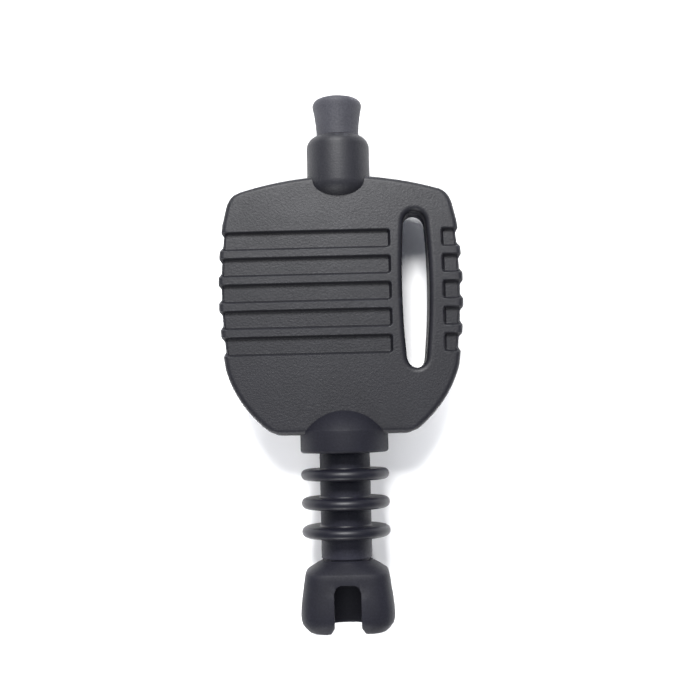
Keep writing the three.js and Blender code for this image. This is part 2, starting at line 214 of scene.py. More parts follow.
@dataclass(frozen=True)
class WorkedSteel:
    """A bright steel part: drawn, turned or plated, with fine marks along one direction."""

    name: str
    slot: str
    dark: str
    bright: str
    roughness: float
    mark_mm: tuple[float, float, float]

    def build(self) -> bpy.types.Material:
        """Makes the material.

        Returns:
            The finished material.
        """
        material = bpy.data.materials.new(self.name)
        material.use_nodes = True
        tree = material.node_tree
        tree.nodes.clear()
        place = add_node(tree, "ShaderNodeTexCoord").outputs["Object"]
        stretch = [1 / (size * MM) for size in self.mark_mm]
        marks = add_node(tree, "ShaderNodeMapping", {"Vector": place, "Scale": stretch}).outputs[0]
        marks = add_node(
            tree, "ShaderNodeTexNoise", {"Vector": marks, "Scale": 1.0, "Detail": 3.0}
        ).outputs[0]
        colour = add_node(
            tree, "ShaderNodeValToRGB", {0: marks}, stops=((0.3, self.dark), (0.7, self.bright))
        ).outputs[0]
        rough = add_node(
            tree,
            "ShaderNodeMapRange",
            {"Value": marks, 3: self.roughness - 0.08, 4: self.roughness + 0.1},
        ).outputs[0]
        bump = add_node(
            tree, "ShaderNodeBump", {"Height": marks, "Distance": 0.01 * MM, "Strength": 0.6}
        ).outputs[0]
        shader = add_node(
            tree,
            "ShaderNodeBsdfPrincipled",
            {"Base Color": colour, "Metallic": 1.0, "Roughness": rough, "Normal": bump},
        )
        add_node(tree, "ShaderNodeOutputMaterial", {"Surface": shader.outputs[0]})
        return material


@dataclass(frozen=True)
class StudioCard:
    """The matt white sheet that the key lies on."""

    name: str = "matt_white_card"
    colour: str = "#fafafa"

    def build(self) -> bpy.types.Material:
        """Makes the material.

        Returns:
            The finished material.
        """
        material = bpy.data.materials.new(self.name)
        material.use_nodes = True
        tree = material.node_tree
        tree.nodes.clear()
        shader = add_node(
            tree,
            "ShaderNodeBsdfPrincipled",
            {"Base Color": linear(self.colour), "Roughness": 0.9, "Specular IOR Level": 0.1},
        )
        add_node(tree, "ShaderNodeOutputMaterial", {"Surface": shader.outputs[0]})
        return material


# Glass-filled nylon from a spark-eroded mould: a fine dry grain that scatters light. It is drawn
# coarser than the 0.1 mm or so that such a mould usually gives, so that it shows.
SPARK_ERODED_NYLON = MouldedPlastic(
    "spark_eroded_nylon", "grip_plastic", pit="#131318", face="#1d1d22", edge_wear_and_highlight="#2d2d34",
    roughness=0.5, grain_mm=0.34, grain_depth_mm=0.05,
)
# The same nylon from a vapour-blasted mould: smoother, so its highlights are tighter.
BLASTED_NYLON = MouldedPlastic(
    "vapour_blasted_nylon", "collar_plastic", pit="#1c1c21", face="#26262b", edge_wear_and_highlight="#35353b",
    roughness=0.52, grain_mm=0.3, grain_depth_mm=0.035, shine=0.34,
)
# The knob's nylon: set paler than the collar's, as painted light for the light that the knob's flare
# catches, and drier. Wear from handling is a guess.
PAINTED_LIGHT_NYLON = MouldedPlastic(
    "painted_light_nylon", "collar_plastic", pit="#37373d", face="#45454b", edge_wear_and_highlight="#55555c",
    roughness=0.6, grain_mm=0.3, grain_depth_mm=0.035, shine=0.3,
)
# Acetal from a stoned mould: a satin skin, blue-black and a little waxy.
SATIN_ACETAL = MouldedPlastic(
    "satin_acetal", "satin_plastic", pit="#15151c", face="#1c1c24", edge_wear_and_highlight="#26262e",
    roughness=0.6, grain_mm=0.3, grain_depth_mm=0.01, wear_and_highlight_strength=1.0, shine=0.22,
)
# The stem's acetal: set paler than the hood's, as painted light that lifts the rings' shadows so that the
# stem shows between them. Scuffing is a guess.
PAINTED_LIGHT_ACETAL = MouldedPlastic(
    "painted_light_acetal", "satin_plastic", pit="#22222a", face="#2d2d36", edge_wear_and_highlight="#383842",
    roughness=0.6, grain_mm=0.3, grain_depth_mm=0.01, wear_and_highlight_strength=1.0, shine=0.22,
)
# Nitrile rubber from a polished mould: nearly smooth, with a soft bright line along each rim, partly from
# the lamps and partly a painted highlight in the edge colour.
MOULDED_NITRILE = MouldedPlastic(
    "moulded_nitrile", "ring_rubber", pit="#101017", face="#16161f", edge_wear_and_highlight="#1f1f2a",
    roughness=0.44, grain_mm=0.3, grain_depth_mm=0.008, wear_and_highlight_strength=0.9, shine=0.32,
)
# The rod seal's nitrile, out of sight: a plain dull rubber, as such seals usually are.
SEAL_NITRILE = MouldedPlastic(
    "seal_nitrile", "seal_rubber", pit="#151515", face="#202020", edge_wear_and_highlight="#2b2b2b",
    roughness=0.6, grain_mm=0.3, grain_depth_mm=0.01, wear_and_highlight_strength=0.5,
)
# Bright zinc on steel: pale, with faint even speckle.
ZINC_PLATE = WorkedSteel(
    "zinc_plated_steel", "steel", dark="#85878c", bright="#b4b6ba",
    roughness=0.34, mark_mm=(0.5, 0.5, 0.5),
)
# Drawn spring wire: darker, with fine marks along the draw.
DRAWN_WIRE = WorkedSteel(
    "drawn_spring_wire", "spring_steel", dark="#6f7176", bright="#a3a5aa",
    roughness=0.3, mark_mm=(0.1, 2.0, 0.1),
)


class Palette:
    """Builds each finish once and hands it out."""

    def __init__(self) -> None:
        """Starts with nothing built."""
        self._built: dict[str, bpy.types.Material] = {}

    def get(self, finish: MouldedPlastic | WorkedSteel | StudioCard) -> bpy.types.Material:
        """Gives a finish's material, which is built the first time.

        Args:
            finish: the finish.

        Returns:
            Its material.
        """
        if finish.name not in self._built:
            self._built[finish.name] = finish.build()
        return self._built[finish.name]


PALETTE = Palette()


# ---------------------------------------------------------------- mesh helpers


@dataclass(frozen=True)
class Corner:
    """A corner of a turned profile, at a radius and a place along the axis, with its rounding."""

    r: float
    y: float
    fillet: float = 0.0


def rounded_path(corners: Sequence[Corner], steps: int = 6) -> list[tuple[float, float]]:
    """Runs round a closed profile, with an arc at each rounded corner.

    Args:
        corners: the profile's corners in order.
        steps: segments in each arc.

    Returns:
        Points as (radius, y).
    """
    path: list[tuple[float, float]] = []
    for i, corner in enumerate(corners):
        here = Vector((corner.r, corner.y))
        if corner.fillet <= 0:
            path.append(tuple(here))
            continue
        before, after = corners[i - 1], corners[(i + 1) % len(corners)]
        back = (Vector((before.r, before.y)) - here).normalized()
        ahead = (Vector((after.r, after.y)) - here).normalized()
        half = back.angle(ahead) / 2
        centre = here + (back + ahead).normalized() * corner.fillet / math.sin(half)
        start = here + back * corner.fillet / math.tan(half) - centre
        turn = start.angle_signed(here + ahead * corner.fillet / math.tan(half) - centre)
        for step in range(steps + 1):
            spoke = start.copy()
            spoke.rotate(Matrix.Rotation(-turn * step / steps, 2))
            path.append(tuple(centre + spoke))
    return path


def turned(path: Sequence[tuple[float, float]], steps: int = ROUND_STEPS) -> bmesh.types.BMesh:
    """Spins a closed profile round the key's axis.

    Args:
        path: the profile as (radius, y) points.
        steps: segments round the axis.

    Returns:
        The turned mesh.
    """
    bm = bmesh.new()
    verts = [bm.verts.new((r, y, 0.0)) for r, y in path]
    edges = [bm.edges.new((a, b)) for a, b in zip(verts, verts[1:] + verts[:1])]
    bmesh.ops.spin(
        bm, geom=verts + edges, cent=(0, 0, 0), axis=(0, 1, 0), dvec=(0, 0, 0),
        angle=math.tau, steps=steps, use_merge=True, use_duplicate=False,
    )
    bmesh.ops.remove_doubles(bm, verts=bm.verts, dist=1e-5)
    bmesh.ops.recalc_face_normals(bm, faces=bm.faces)
    return bm


def block(low: Sequence[float], high: Sequence[float]) -> bmesh.types.BMesh:
    """Makes a box between two corners.

    Args:
        low: its corner with the smallest x, y and z.
        high: its corner with the largest x, y and z.

    Returns:
        The box.
    """
    bm = bmesh.new()
    bmesh.ops.create_cube(bm, size=1.0)
    bmesh.ops.scale(bm, vec=[b - a for a, b in zip(low, high)], verts=bm.verts)
    bmesh.ops.translate(bm, vec=[(a + b) / 2 for a, b in zip(low, high)], verts=bm.verts)
    return bm


def loose_object(bm: bmesh.types.BMesh, name: str) -> bpy.types.Object:
    """Turns a mesh in the making into an object in the scene, in the frame's metres.

    Args:
        bm: the mesh, in millimetres about the key's axis. It is used up.
        name: the object's name.

    Returns:
        The object.
    """
    bmesh.ops.transform(bm, matrix=TO_FRAME, verts=bm.verts)
    mesh = bpy.data.meshes.new(name)
    bm.to_mesh(mesh)
    bm.free()
    item = bpy.data.objects.new(name, mesh)
    bpy.context.scene.collection.objects.link(item)
    return item


def carve(item: bpy.types.Object, cutters: Iterable[bmesh.types.BMesh]) -> None:
    """Cuts solids out of an object and throws the solids away.

    Args:
        item: the object to cut.
        cutters: closed meshes in millimetres about the key's axis.
    """
    tools = [loose_object(bm, f"{item.name}_cutter_{i}") for i, bm in enumerate(cutters)]
    for tool in tools:
        cut = item.modifiers.new("cut", "BOOLEAN")
        cut.operation = "DIFFERENCE"
        cut.solver = "EXACT"
        cut.object = tool
    bpy.context.view_layer.update()
    graph = bpy.context.evaluated_depsgraph_get()
    carved = bpy.data.meshes.new_from_object(item.evaluated_get(graph), depsgraph=graph)
    item.modifiers.clear()
    old, item.data = item.data, carved
    bpy.data.meshes.remove(old)
    for tool in tools:
        shape = tool.data
        bpy.data.objects.remove(tool)
        bpy.data.meshes.remove(shape)


def dress(
    item: bpy.types.Object,
    finish: MouldedPlastic | WorkedSteel,
    body: Body,
    stands_for: Sequence[str],
    sharp_degrees: float = 38.0,
) -> bpy.types.Object:
    """Gives a finished mesh its smooth shading, finish and body, and hides the CAD nodes that it replaces.

    Args:
        item: the object.
        finish: its finish.
        body: the moving group that it rides on.
        stands_for: the CAD nodes that it replaces.
        sharp_degrees: edges that turn more than this stay crisp.

    Returns:
        The same object.
    """
    mesh = item.data
    mesh.materials.clear()
    mesh.materials.append(PALETTE.get(finish))
    mesh.polygons.foreach_set("use_smooth", [True] * len(mesh.polygons))
    mesh.set_sharp_from_angle(angle=math.radians(sharp_degrees))
    mesh.update()
    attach(item, body.value)
    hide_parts(*stands_for)
    LOG.info("%s: %d faces, %s, on %s", item.name, len(mesh.polygons), finish.name, body.value)
    return item


def smoothstep(value: float) -> float:
    """Eases from 0 to 1 between 0 and 1."""
    t = min(1.0, max(0.0, value))
    return t * t * (3 - 2 * t)


def bezier(points: Sequence[tuple[float, float]], t: float) -> Vector:
    """A point on a Bezier curve of any degree.

    Args:
        points: the curve's control points.
        t: how far along the curve, from 0 to 1.

    Returns:
        The point.
    """
    layer = [Vector(p) for p in points]
    while len(layer) > 1:
        layer = [a.lerp(b, t) for a, b in zip(layer, layer[1:])]
    return layer[0]


def outward_normal(curve: Sequence[tuple[float, float]], t: float) -> Vector:
    """The unit normal on the right of a curve's direction."""
    along = (bezier(curve, t + 1e-4) - bezier(curve, t - 1e-4)).normalized()
    return Vector((along.y, -along.x))


def square_up(vert: bmesh.types.BMVert, half_x: float, half_z: float, power: float) -> None:
    """Moves a vertex of a round section out to a rounded rectangle.

    Args:
        vert: the vertex.
        half_x: half the rectangle's width.
        half_z: half the rectangle's depth.
        power: how crisp its corners are, from 2 for an ellipse upwards.
    """
    angle = math.atan2(vert.co.z, vert.co.x)
    reach = abs(math.cos(angle) / half_x) ** power + abs(math.sin(angle) / half_z) ** power
    reach **= -1 / power
    vert.co.x, vert.co.z = reach * math.cos(angle), reach * math.sin(angle)


def spaced(start: float, end: float, step: float) -> list[float]:
    """Even places from start to just short of end, about a step apart."""
    count = max(1, round((end - start) / step))
    return [start + (end - start) * i / count for i in range(count)]


def extrude_ring(
    bm: bmesh.types.BMesh,
    ring: dict[bmesh.types.BMVert, object],
    edges: Sequence[bmesh.types.BMEdge],
    place: Callable[[object], Sequence[float]],
) -> tuple[dict[bmesh.types.BMVert, object], list[bmesh.types.BMEdge]]:
    """Extrudes a loop of edges and puts each new vertex where its key says.

    Args:
        bm: the mesh.
        ring: each vertex of the loop and the key that says where it belongs.
        edges: the loop's edges.
        place: gives the new place from a key.

    Returns:
        The new loop's vertices with their keys, and its edges.
    """
    keys = {tuple(round(c, 5) for c in v.co): key for v, key in ring.items()}
    made = bmesh.ops.extrude_edge_only(bm, edges=list(edges))["geom"]
    fresh = {v: keys[tuple(round(c, 5) for c in v.co)] for v in made if isinstance(v, bmesh.types.BMVert)}
    loop = [e for e in made if isinstance(e, bmesh.types.BMEdge) and all(v in fresh for v in e.verts)]
    for vert, key in fresh.items():
        vert.co = place(key)
    return fresh, loop


# ---------------------------------------------------------------- grip


@dataclass(frozen=True)
class EdgeKey:
    """Where the grip's outer edge starts to round over, and how far out it goes from there."""

    inner: Vector
    out: Vector


@dataclass(frozen=True)
class SlotKey:
    """A place on the strap slot's surround, its place on the slot's mouth and the way out of the slot."""

    surround: Vector
    mouth: Vector
    away: Vector


@dataclass
class PaddleGrip:
    """The paddle grip: two moulded shells with grooves and a strap slot, screwed together from the rear."""

    half_thickness: float = 3.9
    crown_start: float = 9.5
    crown_end: float = 32.88
    crown_drop: float = 0.9
    side_crown: float = 0.3
    top: float = 31.5
    bottom: float = -12.8
    bottom_half_width: float = 11.63
    foot_round: float = 3.2
    foot_reach: float = 1.4
    sweep: tuple = ((11.63, -12.8), (17.92, -8.09), (19.75, -1.51))
    bulge: tuple = ((19.75, -1.51), (21.7, 11.16), (20.05, 23.36))
    straight: tuple = ((20.05, 23.36), (19.42, 26.1))
    corner: tuple = ((19.42, 26.1), (18.85, 28.46), (17.0, 29.0))
    edge_round: float = 0.95
    parting_gap: float = 0.06
    parting_lip: float = 0.12
    groove_count: int = 5
    groove_top: float = 22.02
    groove_pitch: float = 4.5
    groove_height: float = 3.4
    groove_depth: float = 0.95
    groove_side_depth: float = 0.55
    groove_left_end: float = 8.68
    groove_right_start: float = 17.15
    groove_corner: float = 0.75
    groove_wall: float = 0.5
    groove_side_wall: float = 0.95
    slot_lower: tuple = (10.89, 14.34, 0.49)
    slot_upper: tuple = (10.85, 14.74, 22.65)
    slot_bow: tuple = (9.99, 15.57, 11.16)
    slot_cap_reach: float = 3.1
    slot_round: float = 0.9
    surround: tuple = (9.35, 16.4, -2.9, 26.2)
    steady_half_width: float = 17.3
    head_room: tuple = ((-4.1, -14.0, -2.4), (4.1, -3.9, 2.4))
    screw_x: float = 11.6
    screw_rows: tuple = (27.6, -6.0)
    screw_head: float = 1.6
    screw_shank: float = 0.78
    screw_tip: float = 1.6
    screw_clearance: float = 0.95
    screw_seat: float = -2.15
    pilot_radius: float = 0.85
    pilot_depth: float = 2.0
    _side: list = field(default_factory=list)

    def crown(self, x: float, y: float) -> float:
        """Height of the plain face above the middle of the grip.

        Args:
            x: place across the grip.
            y: place along the grip.

        Returns:
            The height.
        """
        widest = 21.0
        lift = self.half_thickness - self.side_crown * (x / widest) ** 2
        past = (y - self.crown_start) / (self.crown_end - self.crown_start)
        return lift - self.crown_drop * max(0.0, past) ** 2

    def groove(self, x: float, y: float, wall: float) -> float:
        """How much of the full groove depth is cut at a place, from 0 to 1.

        Args:
            x: place across the grip.
            y: place along the grip.
            wall: width of the groove's side wall.

        Returns:
            0 on the ribs and 1 on a groove's floor.
        """
        number = round((self.groove_top - self.groove_height / 2 - y) / self.groove_pitch)
        if not 0 <= number < self.groove_count:
            return 0.0
        middle = self.groove_top - self.groove_height / 2 - number * self.groove_pitch
        along = abs(y - middle) - self.groove_height / 2 + self.groove_corner
        across = min(abs(x - self.groove_left_end), abs(x - self.groove_right_start))
        if x <= self.groove_left_end or x >= self.groove_right_start:
            across = -across
        across += self.groove_corner
        outside = math.hypot(max(along, 0.0), max(across, 0.0)) + min(max(along, across), 0.0)
        return smoothstep(0.5 - (outside - self.groove_corner + wall / 2) / wall)

    def side_table(self) -> list[tuple[Vector, Vector]]:
        """Works out the right-hand side once, from the lower corner to the middle of the top corner.

        Returns:
            Points on the outline, each with its outward normal.
        """
        steps = 40
        if not self._side:
            whole = (self.sweep, 1.0), (self.bulge, 1.0), (self.straight, 1.0)
            for curve, end in (*whole, (self.corner, 0.5)):
                for i in range(1 if self._side else 0, steps + 1):
                    t = end * i / steps
                    self._side.append((bezier(curve, t), outward_normal(curve, t)))
        return self._side

    def side_key(self, y: float) -> EdgeKey:
        """The right-hand edge where its inner line has the given y.

        Args:
            y: place along the grip.

        Returns:
            The edge's key.
        """
        table = self.side_table()
        inner = [here - normal * self.edge_round for here, normal in table]
        for i in range(1, len(table)):
            if inner[i].y >= y or i == len(table) - 1:
                t = min(1.0, max(0.0, (y - inner[i - 1].y) / (inner[i].y - inner[i - 1].y)))
                here = inner[i - 1].lerp(inner[i], t)
                outer = table[i - 1][0].lerp(table[i][0], t)
                return EdgeKey(here, outer - here)
        raise ValueError(f"no side at {y}")

    def top_key(self, x: float) -> EdgeKey:
        """The top edge below the arch, out to the middle of each top corner.

        Args:
            x: place across the grip.

        Returns:
            The edge's key.
        """
        reach = abs(x)
        end_x, end_y = self.corner[2]
        arch = ((end_x, end_y), (0.0, 2 * self.top - end_y), (-end_x, end_y))
        corner_steps, arch_steps = 20, 60
        table = [self.edge_at(self.corner, 0.5 + 0.5 * i / corner_steps) for i in range(corner_steps + 1)]
        table += [self.edge_at(arch, 0.5 * i / arch_steps) for i in range(1, arch_steps + 1)]
        for a, b in zip(table, table[1:]):
            if b.inner.x <= reach + 1e-6:
                t = min(1.0, max(0.0, (a.inner.x - reach) / (a.inner.x - b.inner.x)))
                inner, out = a.inner.lerp(b.inner, t), a.out.lerp(b.out, t)
                break
        sign = -1.0 if x < 0 else 1.0
        return EdgeKey(Vector((inner.x * sign, inner.y)), Vector((out.x * sign, out.y)))

    def edge_at(self, curve: Sequence[tuple[float, float]], t: float) -> EdgeKey:
        """The edge's key at a place on one of the outline's curves."""
        out = outward_normal(curve, t) * self.edge_round
        return EdgeKey(bezier(curve, t) - out, out)

    def corner_height(self) -> float:
        """How far along the grip the sides meet the arched top edge."""
        return self.edge_at(self.corner, 0.5).inner.y

    def rows(self) -> tuple[list[float], int]:
        """Lines along the grip, close together at the groove walls.

        Returns:
            Their places, and how many lie below the zone under the arched top edge.
        """
        low, high = self.surround[2], self.surround[3]
        widest_gap, narrowest_gap, top_lines = 0.4, 0.03, 9
        places = spaced(self.bottom + self.edge_round, low, 0.45)
        walls = []
        for i in range(self.groove_count):
            top = self.groove_top - i * self.groove_pitch
            walls += [top - self.groove_height, top]
        marks = {low, high}
        for wall in walls:
            inward = 1 if wall in walls[::2] else -1
            marks |= {wall + inward * self.groove_wall * k / 6 for k in range(-1, 8)}
            marks |= {wall + inward * self.groove_side_wall * k / 6 for k in range(0, 7)}
        marks = sorted(marks)
        steady = [marks[0]]
        for mark in marks[1:]:
            gap = mark - steady[-1]
            if gap < narrowest_gap and mark != high:
                continue
            start, parts = steady[-1], math.ceil(gap / widest_gap)
            steady += [start + gap * k / parts for k in range(1, parts)]
            steady.append(mark)
        places += steady
        rise = self.corner_height() - high
        return places + [high + rise * k / top_lines for k in range(1, top_lines + 1)], len(places)

    def columns(self) -> list[float]:
        """Lines across the grip, close together at the grooves' ends and round the strap slot.

        Returns:
            Their places.
        """
        left, right = self.surround[0], self.surround[1]
        edge = self.side_key(self.surround[2]).inner.x
        steady = self.steady_half_width
        places = spaced(-edge, -steady, 0.2) + spaced(-steady, 7.4, 0.6) + spaced(7.4, 9.0, 0.09)
        places += spaced(9.0, left, 0.17) + spaced(left, right, 0.3) + spaced(right, steady, 0.1)
        return places + spaced(steady, edge, 0.2) + [edge]

    def face_place(self, c: float, row: float, top_share: float) -> tuple[float, float]:
        """Where a crossing of two grid lines lies on the face.

        Args:
            c: the column's nominal x.
            row: the row's y, at the sides.
            top_share: how far the row is through the zone under the arched top edge, from 0 to 1.

        Returns:
            The place as (x, y).
        """
        columns_edge = self.side_key(self.surround[2]).inner.x
        edge = self.side_key(row).inner.x
        if row < self.surround[2]:
            x = c * edge / columns_edge
        elif abs(c) <= self.steady_half_width:
            x = c
        else:
            share = (abs(c) - self.steady_half_width) / (columns_edge - self.steady_half_width)
            x = math.copysign(self.steady_half_width + share * (edge - self.steady_half_width), c)
        if top_share <= 0:
            return x, row
        base = self.surround[3]
        return x, base + (self.top_key(x).inner.y - base) * top_share

    def slot_key(self, x: float, y: float) -> SlotKey:
        """Pairs a place on the slot's surround with its place on the slot's mouth.

        Args:
            x: place across the grip.
            y: place along the grip.

        Returns:
            The slot's key.
        """
        left, right, low, high = self.surround
        lower_left, lower_right, lower_y = self.slot_lower
        upper_left, upper_right, upper_y = self.slot_upper
        bow_left, bow_right, bow_y = self.slot_bow
        reach = self.slot_cap_reach
        up, over = (y - low) / (high - low), (x - left) / (right - left)
        if abs(x - left) < 1e-4:
            curve, t = ((lower_left, lower_y), (bow_left, bow_y), (upper_left, upper_y)), up
        elif abs(x - right) < 1e-4:
            curve, t = ((upper_right, upper_y), (bow_right, bow_y), (lower_right, lower_y)), 1 - up
        elif abs(y - low) < 1e-4:
            t = 1 - over
            curve = (
                (lower_right, lower_y), (lower_right, lower_y - reach),
                (lower_left, lower_y - reach), (lower_left, lower_y),
            )
        else:
            t = over
            curve = (
                (upper_left, upper_y), (upper_left, upper_y + reach),
                (upper_right, upper_y + reach), (upper_right, upper_y),
            )
        return SlotKey(Vector((x, y)), bezier(curve, t), -outward_normal(curve, t))

    def edge_place(
        self, key: EdgeKey, degrees: float, height: float | None = None
    ) -> tuple[float, float, float]:
        """A point on the outer edge's rounding, or on the wall below it at a height.

        Args:
            key: the edge's key.
            degrees: 0 on the face to 90 on the side wall.
            height: height above the middle of the grip, for a point on the wall.

        Returns:
            The point, with the grooves cut into it.
        """
        sine, cosine = math.sin(math.radians(degrees)), math.cos(math.radians(degrees))
        flat = key.inner + key.out * sine
        z = self.crown(key.inner.x, key.inner.y) - self.edge_round * (1 - cosine)
        z = z if height is None else height
        wall = self.groove_wall + (self.groove_side_wall - self.groove_wall) * sine**2
        depth = self.groove_depth * cosine**2 + self.groove_side_depth * sine**2
        depth *= self.groove(key.inner.x, flat.y, wall)
        normal = key.out.normalized() * sine
        return flat.x - normal.x * depth, flat.y - normal.y * depth, z - cosine * depth

    def slot_place(self, key: SlotKey, share: float, degrees: float, height: float | None = None) -> tuple:
        """A point between the slot's surround and its mouth, on the mouth's rounding or on its wall.

        Args:
            key: the slot's key.
            share: how far from the surround to the rounding, from 0 to 1.
            degrees: 0 on the face to 90 on the slot's wall.
            height: height above the middle of the grip, for a point on the wall.

        Returns:
            The point.
        """
        rim = key.mouth + key.away * self.slot_round
        if share < 1:
            flat = key.surround.lerp(rim, share)
            return flat.x, flat.y, self.crown(flat.x, flat.y)
        sine, cosine = math.sin(math.radians(degrees)), math.cos(math.radians(degrees))
        flat = key.mouth + key.away * self.slot_round * (1 - sine)
        z = self.crown(flat.x, flat.y) - self.slot_round * (1 - cosine)
        return flat.x, flat.y, z if height is None else height

    def face_mesh(self) -> tuple[bmesh.types.BMesh, dict, list, dict, list]:
        """Makes the grooved face, open at its outer edge and at the strap slot.

        Returns:
            The mesh, then each open loop's vertices with their keys and its edges, outer first.
        """
        rows, below = self.rows()
        columns = self.columns()
        bm = bmesh.new()
        bmesh.ops.create_grid(bm, x_segments=len(columns) - 1, y_segments=len(rows) - 1, size=1.0)
        spots: dict[bmesh.types.BMVert, tuple[int, int]] = {}
        for vert in bm.verts:
            i = round((vert.co.x + 1) / 2 * (len(columns) - 1))
            j = round((vert.co.y + 1) / 2 * (len(rows) - 1))
            spots[vert] = (i, j)
            share = max(0, j - below + 1) / (len(rows) - below)
            x, y = self.face_place(columns[i], rows[j], share)
            z = self.crown(x, y) - self.groove_depth * self.groove(x, y, self.groove_wall)
            vert.co = (x, y, z)
        left, right, low, high = self.surround
        inside = {
            v for v, (i, j) in spots.items()
            if left - 1e-6 <= columns[i] <= right + 1e-6 and low - 1e-6 <= rows[j] <= high + 1e-6
        }
        window = [f for f in bm.faces if all(v in inside for v in f.verts)]
        bmesh.ops.delete(bm, geom=window, context="FACES")
        outer_edges = [e for e in bm.edges if e.is_boundary and not all(v in inside for v in e.verts)]
        slot_edges = [e for e in bm.edges if e.is_boundary and all(v in inside for v in e.verts)]
        outer = {v: self.outer_key(v.co) for e in outer_edges for v in e.verts}
        slot = {v: self.slot_key(v.co.x, v.co.y) for e in slot_edges for v in e.verts}
        return bm, outer, outer_edges, slot, slot_edges

    def outer_key(self, place: Vector) -> EdgeKey:
        """The edge's key for a vertex on the face's outer line.

        Args:
            place: the vertex's place.

        Returns:
            The edge's key.
        """
        floor = self.bottom + self.edge_round
        if place.y <= floor + 1e-4:
            edge = self.side_key(floor).inner.x
            spread = self.bottom_half_width / edge
            return EdgeKey(Vector((place.x, place.y)), Vector((place.x * (spread - 1), -self.edge_round)))
        key = self.side_key(place.y)
        if abs(abs(place.x) - key.inner.x) < 1e-3 and place.y < self.corner_height() - 1e-3:
            sign = math.copysign(1.0, place.x)
            return EdgeKey(Vector((place.x, place.y)), Vector((key.out.x * sign, key.out.y)))
        return EdgeKey(Vector((place.x, place.y)), self.top_key(place.x).out)

    def shell_mesh(self, side: Side) -> bmesh.types.BMesh:
        """Makes one shell as a closed solid: face, rounded edge, slot wall and parting face.

        Args:
            side: the front or the rear half.

        Returns:
            The shell's mesh, before its rooms are cut.
        """
        bm, outer, outer_edges, slot, slot_edges = self.face_mesh()
        for degrees in (12, 26, 40, 54, 68, 80, 90):
            outer, outer_edges = extrude_ring(
                bm, outer, outer_edges, lambda key, d=degrees: self.edge_place(key, d)
            )
        lip = self.parting_gap + self.parting_lip
        for height in (1.8, lip):
            outer, outer_edges = extrude_ring(
                bm, outer, outer_edges, lambda key, h=height: self.edge_place(key, 90, h)
            )
        shrink = self.parting_lip * 0.7
        outer, outer_edges = extrude_ring(
            bm, outer, outer_edges,
            lambda key: tuple(
                Vector(self.edge_place(key, 90, self.parting_gap))
                - key.out.normalized().to_3d() * shrink
            ),
        )
        for share in (0.35, 0.7):
            slot, slot_edges = extrude_ring(
                bm, slot, slot_edges, lambda key, s=share: self.slot_place(key, s, 0)
            )
        for degrees in (0, 18, 36, 54, 72, 90):
            slot, slot_edges = extrude_ring(
                bm, slot, slot_edges, lambda key, d=degrees: self.slot_place(key, 1, d)
            )
        slot, slot_edges = extrude_ring(
            bm, slot, slot_edges, lambda key: self.slot_place(key, 1, 90, lip)
        )
        slot, slot_edges = extrude_ring(
            bm, slot, slot_edges,
            lambda key: tuple(
                Vector(self.slot_place(key, 1, 90, self.parting_gap)) + key.away.to_3d() * shrink
            ),
        )
        bmesh.ops.triangle_fill(bm, use_beauty=True, edges=outer_edges + slot_edges)
        self.round_feet(bm)
        if side is Side.REAR:
            bmesh.ops.scale(bm, vec=(1, 1, -1), verts=bm.verts)
        bmesh.ops.remove_doubles(bm, verts=bm.verts, dist=1e-5)
        bmesh.ops.recalc_face_normals(bm, faces=bm.faces)
        return bm

    def round_feet(self, bm: bmesh.types.BMesh) -> None:
        """Draws the two lower corners of the grip in to a radius.

        Args:
            bm: the shell's mesh.
        """
        inward, upward, spread = 0.4, 0.92, 1.8
        for vert in bm.verts:
            corner = Vector((math.copysign(self.bottom_half_width, vert.co.x), self.bottom))
            away = (vert.co.to_2d() - corner).length
            if away < self.foot_reach:
                pull = (self.foot_reach - away) ** 2 / (spread * self.foot_round)
                vert.co.x -= math.copysign(pull * inward, vert.co.x)
                vert.co.y += pull * upward

    def plunger_way(self) -> bmesh.types.BMesh:
        """Makes the stepped room down the grip's middle for the rod, its clip and the spring.

        Returns:
            The room, as a solid to cut with.
        """
        rod, spring, collar = 1.3, 2.35, 4.2
        low, clip_low, seat_low, seat_high, collar_low, past_top = -4.4, 15.7, 19.4, 20.9, 28.8, 36.0
        steps = (
            (0.0, low), (rod, low), (rod, clip_low), (spring, clip_low), (spring, seat_low), (rod, seat_low),
            (rod, seat_high), (spring, seat_high), (spring, collar_low), (collar, collar_low),
            (collar, past_top), (0.0, past_top),
        )
        return turned(steps, 48)

    def screw_places(self) -> list[tuple[float, float]]:
        """The four screws' places on the grip."""
        return [(sign * self.screw_x, y) for y in self.screw_rows for sign in (-1, 1)]

    def screw_room(self, x: float, y: float, radius: float, low: float, high: float) -> bmesh.types.BMesh:
        """Makes a rod at a screw's place, between two heights.

        Args:
            x: place across the grip.
            y: place along the grip.
            radius: the rod's radius.
            low: its lower end.
            high: its upper end.

        Returns:
            The rod.
        """
        bm = bmesh.new()
        bmesh.ops.create_cone(
            bm, cap_ends=True, cap_tris=False, segments=48, radius1=radius, radius2=radius, depth=high - low
        )
        bmesh.ops.translate(bm, vec=(x, y, (low + high) / 2), verts=bm.verts)
        return bm

    def build_shell(self, side: Side) -> bpy.types.Object:
        """Makes and dresses one shell.

        Args:
            side: the front or the rear half.

        Returns:
            The shell.
        """
        name = f"grip_{side.name.lower()}"
        item = loose_object(self.shell_mesh(side), name)
        cutters = [self.plunger_way(), block(*self.head_room)]
        behind, head_gap = -9.0, 0.2
        for x, y in self.screw_places():
            if side is Side.REAR:
                cutters.append(self.screw_room(x, y, self.screw_clearance, behind, 1.0))
                cutters.append(self.screw_room(x, y, self.screw_head + head_gap, behind, self.screw_seat))
            else:
                cutters.append(self.screw_room(x, y, self.pilot_radius, -1.0, self.pilot_depth))
        carve(item, cutters)
        return dress(item, SPARK_ERODED_NYLON, Body.HANDLE, [f"{side.name.lower()}_grip_shell"])

